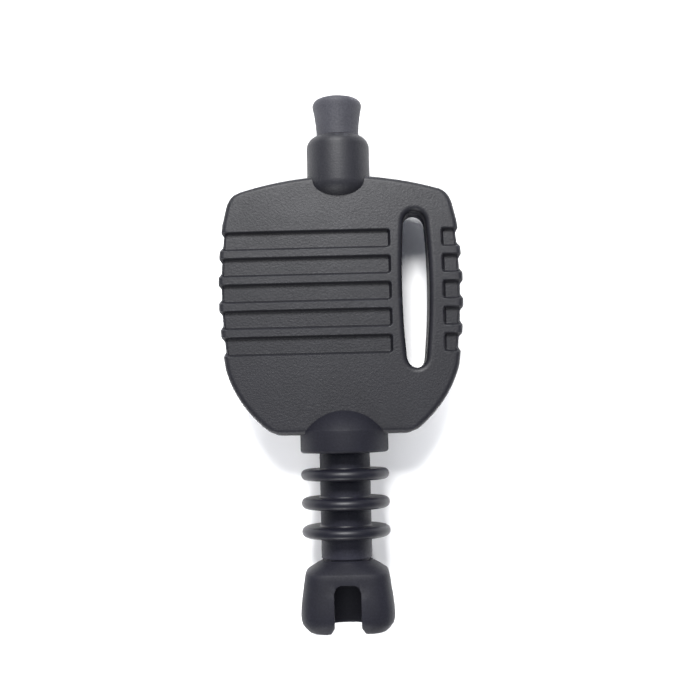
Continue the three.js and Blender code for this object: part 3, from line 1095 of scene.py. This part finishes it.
    def build_screw(self, number: int, x: float, y: float) -> bpy.types.Object:
        """Makes one pan-head screw with a cross recess.

        Args:
            number: the screw's number, from 1.
            x: its place across the grip.
            y: its place along the grip.

        Returns:
            The screw.
        """
        head_low, head_high, head_round, overlap = -3.1, -2.2, 0.42, 0.05
        bm = self.screw_room(0, 0, self.screw_head, head_low, head_high)
        rim = [e for e in bm.edges if all(abs(v.co.z - head_low) < 1e-4 for v in e.verts)]
        bmesh.ops.bevel(
            bm, geom=rim, offset=head_round, offset_type="OFFSET", segments=5, profile=0.5,
            affect="EDGES", material=-1,
        )
        shank = self.screw_room(0, 0, self.screw_shank, head_high - overlap, self.screw_tip)
        joined = bpy.data.meshes.new("shank")
        shank.to_mesh(joined)
        shank.free()
        bm.from_mesh(joined)
        bpy.data.meshes.remove(joined)
        bmesh.ops.translate(bm, vec=(x, y, 0), verts=bm.verts)
        item = loose_object(bm, f"grip_pan_screw_{number}")
        arm, slit, depth = 0.95, 0.21, 0.5
        floor = head_low + depth
        carve(item, [
            block((x - arm, y - slit, head_low - 1), (x + arm, y + slit, floor)),
            block((x - slit, y - arm, head_low - 1), (x + slit, y + arm, floor)),
        ])
        return dress(item, ZINC_PLATE, Body.HANDLE, [f"grip_screw_{number}"])

    def build(self) -> None:
        """Makes both shells and the four screws."""
        self.build_shell(Side.FRONT)
        self.build_shell(Side.REAR)
        for number, (x, y) in enumerate(self.screw_places(), 1):
            self.build_screw(number, x, y)


# ---------------------------------------------------------------- knob, collar and plunger


@dataclass
class PushHead:
    """The collar in the grip's top edge, the push knob in it and the spring below."""

    collar_top: float = 38.8
    collar_radius: float = 5.43
    shoulder: float = 2.1
    dome_top: float = 30.44
    dome_depth: float = 3.3
    mouth: float = 3.92
    bore: float = 4.05
    floor: float = 29.4
    spring_room: float = 2.35
    knob_top: float = 45.35
    knob_radius: float = 4.28
    knob_neck: float = 3.62
    skirt: float = 3.75
    skirt_top: float = 37.0
    knob_bottom: float = 32.4
    rod_room: float = 1.02
    rod_top: float = 40.45
    spring_low: float = 22.0
    spring_high: float = 32.1
    coil_radius: float = 1.7
    wire: float = 0.25
    turns: float = 6.5
    travel: float = 2.5

    def build_collar(self) -> bpy.types.Object:
        """Makes the collar: rounded shoulder, straight side, domed lower end, bored for the knob.

        Returns:
            The collar.
        """
        centre_r, centre_y = self.collar_radius - self.shoulder, self.collar_top - self.shoulder
        break_out, break_down = 0.06, 0.08
        start = math.acos((self.mouth + break_out - centre_r) / self.shoulder)
        path = [(self.mouth, centre_y + self.shoulder * math.sin(start) - break_down)]
        for i in range(13):
            angle = start * (1 - i / 12)
            path.append((
                centre_r + self.shoulder * math.cos(angle),
                centre_y + self.shoulder * math.sin(angle),
            ))
        end = math.acos(self.spring_room / self.collar_radius)
        for i in range(15):
            angle = end * i / 14
            path.append((
                self.collar_radius * math.cos(angle),
                self.dome_top - self.dome_depth * math.sin(angle),
            ))
        path += [
            (self.spring_room, self.floor), (self.bore, self.floor),
            (self.bore, self.collar_top - 1.6), (self.mouth, self.collar_top - 1.4),
        ]
        item = loose_object(turned(path), "collar_bush")
        return dress(item, BLASTED_NYLON, Body.HANDLE, ["top_collar"], sharp_degrees=50.0)

    def build_knob(self) -> bpy.types.Object:
        """Makes the push knob: a flared head with a rounded rim, a neck and a skirt bored for the rod.

        Returns:
            The knob.
        """
        rim, rim_sweep = 1.05, 97
        path = [(0.0, self.knob_top)]
        for i in range(9):
            angle = math.radians(90 - rim_sweep * i / 8)
            path.append((
                self.knob_radius - rim + rim * math.cos(angle),
                self.knob_top - rim + rim * math.sin(angle),
            ))
        flare_top = path[-1]
        waist = (self.knob_neck, self.collar_top - 1.0)
        for i in range(1, 13):
            point = bezier((flare_top, (3.72, 41.7), (self.knob_neck, 39.6), waist), i / 12)
            path.append(tuple(point))
        path += rounded_path([
            Corner(self.knob_neck, self.skirt_top + 0.4), Corner(self.skirt, self.skirt_top, 0.1),
            Corner(self.skirt, self.knob_bottom, 0.2), Corner(self.rod_room, self.knob_bottom, 0.1),
            Corner(self.rod_room, self.rod_top), Corner(0.0, self.rod_top),
        ], 4)
        item = loose_object(turned(path), "thumb_knob")
        # The knob's finish is painted paler, standing in for the light that it catches.
        return dress(item, PAINTED_LIGHT_NYLON, Body.PLUNGER, ["push_knob"])

    def build_spring(self) -> bpy.types.Object:
        """Makes the coil spring as a fixed coil at its rest length; the real spring shortens as the knob
        goes down.

        Returns:
            The spring.
        """
        bm = bmesh.new()
        low, high = self.spring_low + self.wire, self.spring_high - self.wire
        bmesh.ops.create_circle(bm, cap_ends=False, radius=self.wire, segments=14)
        bmesh.ops.translate(bm, vec=(self.coil_radius, low, 0), verts=bm.verts)
        steps = round(self.turns * 40)
        bmesh.ops.spin(
            bm, geom=bm.verts[:] + bm.edges[:], cent=(0, 0, 0), axis=(0, 1, 0),
            dvec=(0, (high - low) / steps, 0), angle=math.tau * self.turns, steps=steps,
            use_merge=False, use_duplicate=False,
        )
        bmesh.ops.holes_fill(bm, edges=[e for e in bm.edges if e.is_boundary], sides=0)
        bmesh.ops.recalc_face_normals(bm, faces=bm.faces)
        item = loose_object(bm, "spring_coil")
        dress(item, DRAWN_WIRE, Body.HANDLE, ["return_spring"])
        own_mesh(item)
        return item

    def build(self) -> None:
        """Makes the collar, the knob and the spring."""
        self.build_collar()
        self.build_knob()
        self.build_spring()


# ---------------------------------------------------------------- stem, flange and rings


@dataclass
class RingedStem:
    """The hollow stem with its drive head and square socket, the domed flange and the drip rings."""

    radius: float = 4.29
    top: float = -13.4
    head_top: float = -4.05
    head_half_width: float = 4.0
    head_half_depth: float = 2.3
    shoulder: float = -33.6
    bottom: float = -36.9
    spigot: float = 3.9
    bore: float = 1.3
    pocket: tuple = (2.4, -26.5, -29.4)
    socket_half: float = 2.55
    rim_radius: float = 7.5
    dome_radius: float = 8.7
    crease: float = -12.16
    flange_bottom: float = -15.87
    ring_first: float = -19.52
    ring_pitch: float = 4.78
    ring_thickness: float = 1.87
    ring_count: int = 3

    def build_shaft(self) -> bpy.types.Object:
        """Makes the stem, first round and then with its head and socket drawn out square.

        Returns:
            The stem.
        """
        pocket_radius, pocket_top, pocket_bottom = self.pocket
        head, head_power, socket_power = 3.0, 18, 26
        path = [(head, self.head_top), (head, self.head_top - 0.25), (head, self.top)]
        path += rounded_path([
            Corner(self.radius, self.top, 0.15), Corner(self.radius, self.shoulder, 0.25),
            Corner(self.spigot, self.shoulder), Corner(self.spigot, self.bottom, 0.2),
            Corner(self.socket_half, self.bottom), Corner(self.socket_half, self.bottom + 0.3),
            Corner(self.socket_half, pocket_bottom), Corner(pocket_radius, pocket_bottom),
            Corner(pocket_radius, pocket_top),
            Corner(self.bore, pocket_top), Corner(self.bore, self.head_top),
        ], 4)
        bm = turned(path, 128)
        for vert in bm.verts:
            reach = math.hypot(vert.co.x, vert.co.z)
            if abs(reach - head) < 1e-3:
                ease = 0.2 if vert.co.y > self.head_top - 0.01 else 0.0
                square_up(vert, self.head_half_width - ease, self.head_half_depth - ease, head_power)
            elif abs(reach - self.socket_half) < 1e-3:
                ease = 0.15 if vert.co.y < self.bottom + 0.01 else 0.0
                square_up(vert, self.socket_half + ease, self.socket_half + ease, socket_power)
        item = loose_object(bm, "hollow_shaft")
        # The stem's finish is painted paler, as painted light that lifts the rings' shadows.
        return dress(item, PAINTED_LIGHT_ACETAL, Body.HANDLE, ["stem"])

    def build_flange(self) -> bpy.types.Object:
        """Makes the flange: a shallow dome, a crease and a short rim.

        Returns:
            The flange.
        """
        crease_angle = math.degrees(math.acos(self.rim_radius / self.dome_radius))
        centre = self.crease - self.dome_radius * math.sin(math.radians(crease_angle))
        room, crease_round, lower_round, short_of_crease = 2.7, 0.22, 0.55, 1.6
        start = math.degrees(math.acos(room / self.dome_radius))
        dome = []
        for i in range(20):
            angle = math.radians(start + (crease_angle + short_of_crease - start) * i / 19)
            dome.append((self.dome_radius * math.cos(angle), centre + self.dome_radius * math.sin(angle)))
        bore, ledge = self.radius + 0.05, self.top + 0.1
        edge = rounded_path([
            Corner(*dome[-1]), Corner(self.rim_radius, self.crease, crease_round),
            Corner(self.rim_radius, self.flange_bottom, lower_round), Corner(bore, self.flange_bottom),
            Corner(bore, ledge), Corner(room, ledge),
        ])
        item = loose_object(turned(dome + edge[1:]), "domed_flange")
        return dress(item, SATIN_ACETAL, Body.HANDLE, ["shoulder_flange"])

    def build_ring(self, number: int) -> bpy.types.Object:
        """Makes one drip ring: a thin disc with a full round rim and a small fillet at the stem.

        Args:
            number: the ring's number, from 1 at the flange.

        Returns:
            The ring.
        """
        middle = self.ring_first - (number - 1) * self.ring_pitch
        half = self.ring_thickness / 2
        inner = self.radius + 0.02
        fillet = 0.35
        web = half * 0.86
        path = [(inner, middle + web + fillet)]
        for i in range(1, 7):
            angle = math.radians(180 + 90 * i / 6)
            path.append((
                inner + fillet + fillet * math.cos(angle), middle + web + fillet + fillet * math.sin(angle)
            ))
        for i in range(15):
            angle = math.radians(84 - 168 * i / 14)
            path.append((self.rim_radius - half + half * math.cos(angle), middle + half * math.sin(angle)))
        path += [(r, 2 * middle - y) for r, y in reversed(path[:7])]
        item = loose_object(turned(path), f"drip_washer_{number}")
        return dress(item, MOULDED_NITRILE, Body.HANDLE, [f"drip_ring_{number}"], sharp_degrees=60.0)

    def build(self) -> None:
        """Makes the stem, the flange and the rings."""
        self.build_shaft()
        self.build_flange()
        for number in range(1, self.ring_count + 1):
            self.build_ring(number)


# ---------------------------------------------------------------- hood


@dataclass(frozen=True)
class Section:
    """One rounded-square section of the hood."""

    y: float
    half_width: float
    power: float
    depth_ratio: float


@dataclass
class SplashHood:
    """The flared hood at the socket end: squared outside, round inside, with an outlet slot in front."""

    top: float = -33.9
    bottom: float = -45.35
    bore: float = 4.95
    bore_top: float = -37.2
    neck: float = 3.95
    slot_half: float = 2.21
    slot_top: float = -37.33
    slot_corner: float = 1.35
    slot_round: float = 0.2
    slot_fade: float = 2.2
    slot_draw: float = 0.82
    lobe_corner: float = 1.1
    rim_flare: float = 0.15
    ledge: float = 0.12
    slot_columns: int = 14
    other_columns: int = 90

    def sections(self) -> list[Section]:
        """The outside from its top edge down to the lower rim.

        Returns:
            The sections in order.
        """
        return [
            Section(self.top, 4.3, 2.0, 1.0),
            Section(self.top - 0.1, 4.42, 2.1, 0.99),
            Section(-34.5, 5.2, 3.0, 0.93),
            Section(-35.1, 6.08, 3.8, 0.885),
            Section(-35.6, 6.74, 4.4, 0.866),
            Section(-35.74, 6.9, 4.5, 0.862),
            Section(-35.9, 7.0, 4.5, 0.86),
            Section(-36.4, 7.13, 4.3, 0.86),
            Section(self.slot_top, 7.28, 4.0, 0.86),
            Section(self.slot_top - 1.4, 7.47, 4.0, 0.86),
            Section(-40.0, 7.67, 4.0, 0.86),
            Section(-41.3, 7.82, 4.0, 0.86),
            Section(-42.5, 7.88, 4.0, 0.86),
            Section(-43.3, 7.82, 4.0, 0.86),
            Section(-43.9, 7.64, 4.0, 0.86),
            Section(-44.5, 7.22, 4.0, 0.86),
            Section(-44.95, 6.8, 4.0, 0.865),
            Section(-45.2, 6.5, 4.0, 0.87),
            Section(self.bottom, 6.15, 4.0, 0.88),
        ]

    @property
    def slot_side(self) -> float:
        """Direction of the slot's right-hand side inside the bore, in radians."""
        return math.acos(self.slot_half / self.bore)

    def angles(self) -> list[float]:
        """Directions of the hood's vertical lines, two of them on the slot's sides inside the bore.

        Returns:
            The directions in radians, from the slot's right-hand side round to it again.
        """
        side = self.slot_side
        front = [side + (math.pi - 2 * side) * i / self.slot_columns for i in range(self.slot_columns)]
        rest = math.tau - (math.pi - 2 * side)
        start = math.pi - side
        return front + [start + rest * i / self.other_columns for i in range(self.other_columns)]

    def drop(self, x: float, y: float) -> float:
        """How far the slot's rounded corners pull the lines near them down.

        Args:
            x: place across the hood.
            y: place along the key.

        Returns:
            The pull, which is below 0 at the lower rim.
        """
        near = smoothstep(1 - abs(y - self.slot_top) / 1.5)
        if y < self.bottom + 2 * self.lobe_corner:
            return -self.lobe_lift(x, y)
        if near <= 0 or abs(x) > self.slot_half + self.slot_fade:
            return 0.0
        straight = self.slot_half - self.slot_corner
        if abs(x) <= self.slot_half:
            past = max(0.0, (abs(x) - straight) / self.slot_corner)
            return near * self.slot_corner * (1 - math.sqrt(max(0.0, 1 - min(1.0, past) ** 2)))
        return near * self.slot_corner * smoothstep(1 - (abs(x) - self.slot_half) / self.slot_fade)

    def lobe_lift(self, x: float, y: float) -> float:
        """How far the rim rises towards the slot, so that the lobes' inner corners are round.

        Args:
            x: place across the hood.
            y: place along the key.

        Returns:
            The rise.
        """
        inward = min(1.0, max(0.0, 1 - (abs(x) - self.slot_half) / self.lobe_corner))
        lift = self.lobe_corner * (1 - math.sqrt(max(0.0, 1 - inward**2)))
        return lift * (1 - (y - self.bottom) / (2 * self.lobe_corner))

    def outside(self, angle: float, section: Section) -> tuple[float, float, float]:
        """A point on the hood's outside, its lines drawn in beside the slot.

        Args:
            angle: the line's direction in radians.
            section: the section that the point lies on.

        Returns:
            The point.
        """
        power, ratio = section.power, section.depth_ratio
        reach = (abs(math.cos(angle)) ** power + abs(math.sin(angle)) ** power) ** (-1 / power)
        x = section.half_width * reach * math.cos(angle)
        z = section.half_width * ratio * reach * math.sin(angle)
        side = self.slot_side
        side_reach = (math.cos(side) ** power + math.sin(side) ** power) ** (-1 / power)
        edge = section.half_width * side_reach * math.cos(side)
        limit = section.half_width * self.slot_draw
        if z > 0:
            if abs(x) <= edge:
                x *= self.slot_half / edge
            elif abs(x) < limit:
                share = (abs(x) - edge) / (limit - edge)
                x = math.copysign(self.slot_half + share * (limit - self.slot_half), x)
            bulge = max(0.0, 1 - (abs(x) / section.half_width) ** power) ** (1 / power)
            z = section.half_width * ratio * bulge if abs(x) < limit else z
        return x, section.y - self.drop(x, section.y) * (z > 0), z

    def inside(self, angle: float, radius: float, y: float) -> tuple[float, float, float]:
        """A point on the bore."""
        x, z = radius * math.cos(angle), radius * math.sin(angle)
        return x, y - self.drop(x, y) * (z > 0), z

    def levels(self) -> list[Callable[[float], Sequence[float]]]:
        """The skin's levels: down the outside, then up the bore and the neck.

        Returns:
            For each level, what gives a point on it from a direction.
        """
        sections = self.sections()
        outer = [lambda a, s=section: self.outside(a, s) for section in sections]
        bore = []
        for section in reversed(sections):
            if section.y <= self.slot_top + 1e-6:
                radius = self.bore + (self.rim_flare if section.y == self.bottom else 0.0)
                bore.append(lambda a, r=radius, y=section.y: self.inside(a, r, y))
        ledge = self.bore_top + self.ledge
        neck = [
            lambda a: self.inside(a, self.bore, ledge),
            lambda a: self.inside(a, self.neck, ledge),
            lambda a: self.inside(a, self.neck, self.top),
        ]
        return outer + bore + neck

    def skin(self) -> tuple[bmesh.types.BMesh, dict[bmesh.types.BMVert, tuple[int, float]]]:
        """Makes the closed skin: outside, lower rim, bore and neck.

        Returns:
            The mesh, and each vertex's level and direction.
        """
        angles, levels = self.angles(), self.levels()
        bm = bmesh.new()
        bmesh.ops.create_circle(bm, cap_ends=False, radius=1.0, segments=len(angles))
        order = sorted(bm.verts, key=lambda v: math.atan2(v.co.x, v.co.y) % math.tau)
        for vert, angle in zip(order, angles):
            vert.co = levels[0](angle)
        ring, edges = dict(zip(order, angles)), bm.edges[:]
        first = list(edges)
        tags = {vert: (0, angle) for vert, angle in ring.items()}
        for number, place in enumerate(levels[1:], 1):
            ring, edges = extrude_ring(bm, ring, edges, place)
            tags |= {vert: (number, angle) for vert, angle in ring.items()}
        bmesh.ops.bridge_loops(bm, edges=first + list(edges))
        return bm, tags

    def open_slot(self, bm: bmesh.types.BMesh, tags: dict[bmesh.types.BMVert, tuple[int, float]]) -> None:
        """Takes the slot out of the front wall and closes the sides of the cut.

        Args:
            bm: the skin.
            tags: each vertex's level and direction.
        """
        sections = self.sections()
        low = min(i for i, section in enumerate(sections) if section.y <= self.slot_top + 1e-6)
        lower_rim = len(sections) - 1
        high = lower_rim + len(sections) - low
        start, end = self.slot_side - 1e-4, math.pi - self.slot_side + 1e-4
        window = []
        for face in bm.faces:
            rows = [tags[v][0] for v in face.verts]
            in_slot = min(rows) >= low and max(rows) <= high and max(rows) - min(rows) <= 1
            if in_slot and all(start <= tags[v][1] <= end for v in face.verts):
                window.append(face)
        bmesh.ops.delete(bm, geom=window, context="FACES")
        cut = [
            e for e in bm.edges
            if e.is_boundary and {tags[v][0] for v in e.verts} != {lower_rim, lower_rim + 1}
        ]
        bmesh.ops.bridge_loops(bm, edges=cut)
        bmesh.ops.remove_doubles(bm, verts=bm.verts, dist=1e-5)
        bmesh.ops.recalc_face_normals(bm, faces=bm.faces)

    def round_slot(self, bm: bmesh.types.BMesh) -> None:
        """Rounds the edges of the slot's mouth.

        Args:
            bm: the hood's mesh.
        """
        front, crisp = 2.0, math.radians(48)
        rims = [
            e for e in bm.edges
            if e.calc_face_angle(0.0) > crisp
            and all(v.co.z > front and abs(v.co.x) < self.slot_half + 0.1 for v in e.verts)
            and max(v.co.y for v in e.verts) < self.slot_top + 0.1
            and min(v.co.y for v in e.verts) > self.bottom + 0.3
        ]
        LOG.info("hood: %d slot edges rounded", len(rims))
        bmesh.ops.bevel(
            bm, geom=rims, offset=self.slot_round, offset_type="OFFSET", segments=3, profile=0.5,
            affect="EDGES", material=-1, clamp_overlap=True,
        )

    def build(self) -> bpy.types.Object:
        """Makes the hood.

        Returns:
            The hood.
        """
        bm, tags = self.skin()
        self.open_slot(bm, tags)
        self.round_slot(bm)
        item = loose_object(bm, "slotted_hood")
        return dress(item, SATIN_ACETAL, Body.HANDLE, ["splash_hood"], sharp_degrees=60.0)


# ---------------------------------------------------------------- inner pieces and studio


def dress_frame_pieces() -> None:
    """Gives the small inner pieces that keep their CAD shape their finishes."""
    finishes = {
        "push_rod": ZINC_PLATE,
        "rod_clip": ZINC_PLATE,
        "spring_washer": ZINC_PLATE,
        "seal_washer": ZINC_PLATE,
        "rod_seal": SEAL_NITRILE,
    }
    for name, finish in finishes.items():
        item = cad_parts[name]
        material = PALETTE.get(finish)
        if not item.material_slots:
            item.data.materials.append(material)
        for slot in item.material_slots:
            slot.material = material
        LOG.info("%s: frame piece in %s", name, finish.name)


@dataclass(frozen=True)
class SoftLight:
    """A square soft light that faces the key: degrees from +Y towards +X, degrees up, metres and watts."""

    name: str
    azimuth: float
    elevation: float
    distance: float
    size: float
    watts: float

    def build(self) -> bpy.types.Object:
        """Makes the light.

        Returns:
            The light.
        """
        data = bpy.data.lights.new(self.name, "AREA")
        data.size = self.size
        data.energy = self.watts
        light = bpy.data.objects.new(self.name, data)
        a, e = math.radians(self.azimuth), math.radians(self.elevation)
        away = Vector((math.sin(a) * math.cos(e), math.cos(a) * math.cos(e), math.sin(e)))
        light.location = away * self.distance
        light.rotation_mode = "QUATERNION"
        light.rotation_quaternion = away.to_track_quat("Z", "Y")
        bpy.context.scene.collection.objects.link(light)
        return light


WINDOW = SoftLight("window", azimuth=-6, elevation=52, distance=0.7, size=0.22, watts=8.2)
CEILING_BOUNCE = SoftLight("ceiling_bounce", azimuth=0, elevation=80, distance=0.5, size=0.14, watts=0.4)
CARD_WASHES = tuple(
    SoftLight(name, azimuth=azimuth, elevation=30, distance=0.8, size=0.16, watts=5.4)
    for name, azimuth in (("card_wash_left", 215), ("card_wash_right", 150))
)
LOW_FILL = SoftLight("low_fill", azimuth=188, elevation=22, distance=0.8, size=0.24, watts=3.2)


@dataclass
class Studio:
    """The white card, the lights and the camera."""

    target: tuple = (1.32, 1.6, 0.0)
    distance: float = 168.6
    elevation: float = 85.74
    roll: float = 1.35
    field_of_view: float = 39.3
    card_half: float = 900.0
    sky: str = "#dfe5f8"
    wall_glow: float = 0.24
    ceiling_glow: float = 0.32
    backdrop_glow: float = 1.35

    def build_card(self) -> bpy.types.Object:
        """Lays the white card under the key.

        Returns:
            The card.
        """
        bm = bmesh.new()
        bmesh.ops.create_grid(bm, x_segments=4, y_segments=4, size=self.card_half * MM)
        mesh = bpy.data.meshes.new("card")
        bm.to_mesh(mesh)
        bm.free()
        card = bpy.data.objects.new("card", mesh)
        just_below = 0.0001
        card.location = (0, 0, -just_below)
        mesh.materials.append(PALETTE.get(StudioCard()))
        bpy.context.scene.collection.objects.link(card)
        return card

    def build_lights(self, card: bpy.types.Object) -> None:
        """Sets the soft light over the top edge, the washes on the card and the fills on the key.

        Args:
            card: the white card, which alone receives the washes and doesn't receive the bounce.
        """
        WINDOW.build()
        bounce = CEILING_BOUNCE.build()
        only_card = bpy.data.collections.new("card_only")
        only_card.objects.link(card)
        not_card = bpy.data.collections.new("all_but_card")
        not_card.objects.link(card)
        not_card.collection_objects[0].light_linking.link_state = "EXCLUDE"
        bounce.light_linking.receiver_collection = not_card
        for wash in CARD_WASHES:
            wash.build().light_linking.receiver_collection = only_card
        LOW_FILL.build()

    def build_room(self) -> None:
        """Makes the pale room: brighter overhead than at the walls, and white where the camera sees it."""
        world = bpy.data.worlds.new("pale_room")
        world.use_nodes = True
        tree = world.node_tree
        height = add_node(tree, "ShaderNodeTexCoord").outputs["Generated"]
        height = add_node(tree, "ShaderNodeSeparateXYZ", {0: height}).outputs["Z"]
        glow = add_node(
            tree,
            "ShaderNodeMapRange",
            {"Value": height, 1: 0.0, 2: 1.0, 3: self.wall_glow, 4: self.ceiling_glow},
        ).outputs[0]
        seen = add_node(tree, "ShaderNodeLightPath").outputs["Is Camera Ray"]
        glow = add_node(
            tree, "ShaderNodeMix", {"Factor": seen, "A": glow, "B": self.backdrop_glow}
        ).outputs[0]
        background = tree.nodes["Background"]
        background.inputs[0].default_value = linear(self.sky)
        tree.links.new(glow, background.inputs[1])
        bpy.context.scene.world = world
        bpy.context.scene.view_settings.view_transform = "Standard"

    def build_camera(self) -> None:
        """Stands the camera over the key, a little towards the socket end."""
        data = bpy.data.cameras.new("camera")
        data.sensor_width = 36.0
        data.lens = 18.0 / math.tan(math.radians(self.field_of_view / 2))
        data.clip_start = 0.01
        camera = bpy.data.objects.new("camera", data)
        e = math.radians(self.elevation)
        away = Vector((0.0, -math.cos(e), math.sin(e)))
        aim = Vector(self.target) * MM + Vector((0, 0, AXIS_HEIGHT))
        camera.location = aim + away * self.distance * MM
        turn = away.to_track_quat("Z", "Y").to_matrix() @ Matrix.Rotation(math.radians(-self.roll), 3, "Z")
        camera.rotation_mode = "QUATERNION"
        camera.rotation_quaternion = turn.to_quaternion()
        bpy.context.scene.collection.objects.link(camera)
        bpy.context.scene.camera = camera

    def build(self) -> None:
        """Sets up the card, the lights, the room and the camera."""
        self.build_lights(self.build_card())
        self.build_room()
        self.build_camera()


def main() -> None:
    """Builds the key's sub-assemblies in order, then the studio round them."""
    logging.basicConfig(level=logging.INFO, format="%(name)s: %(message)s")
    Studio().build()
    PaddleGrip().build()
    PushHead().build()
    RingedStem().build()
    SplashHood().build()
    dress_frame_pieces()


if __name__ == "__main__":
    main()
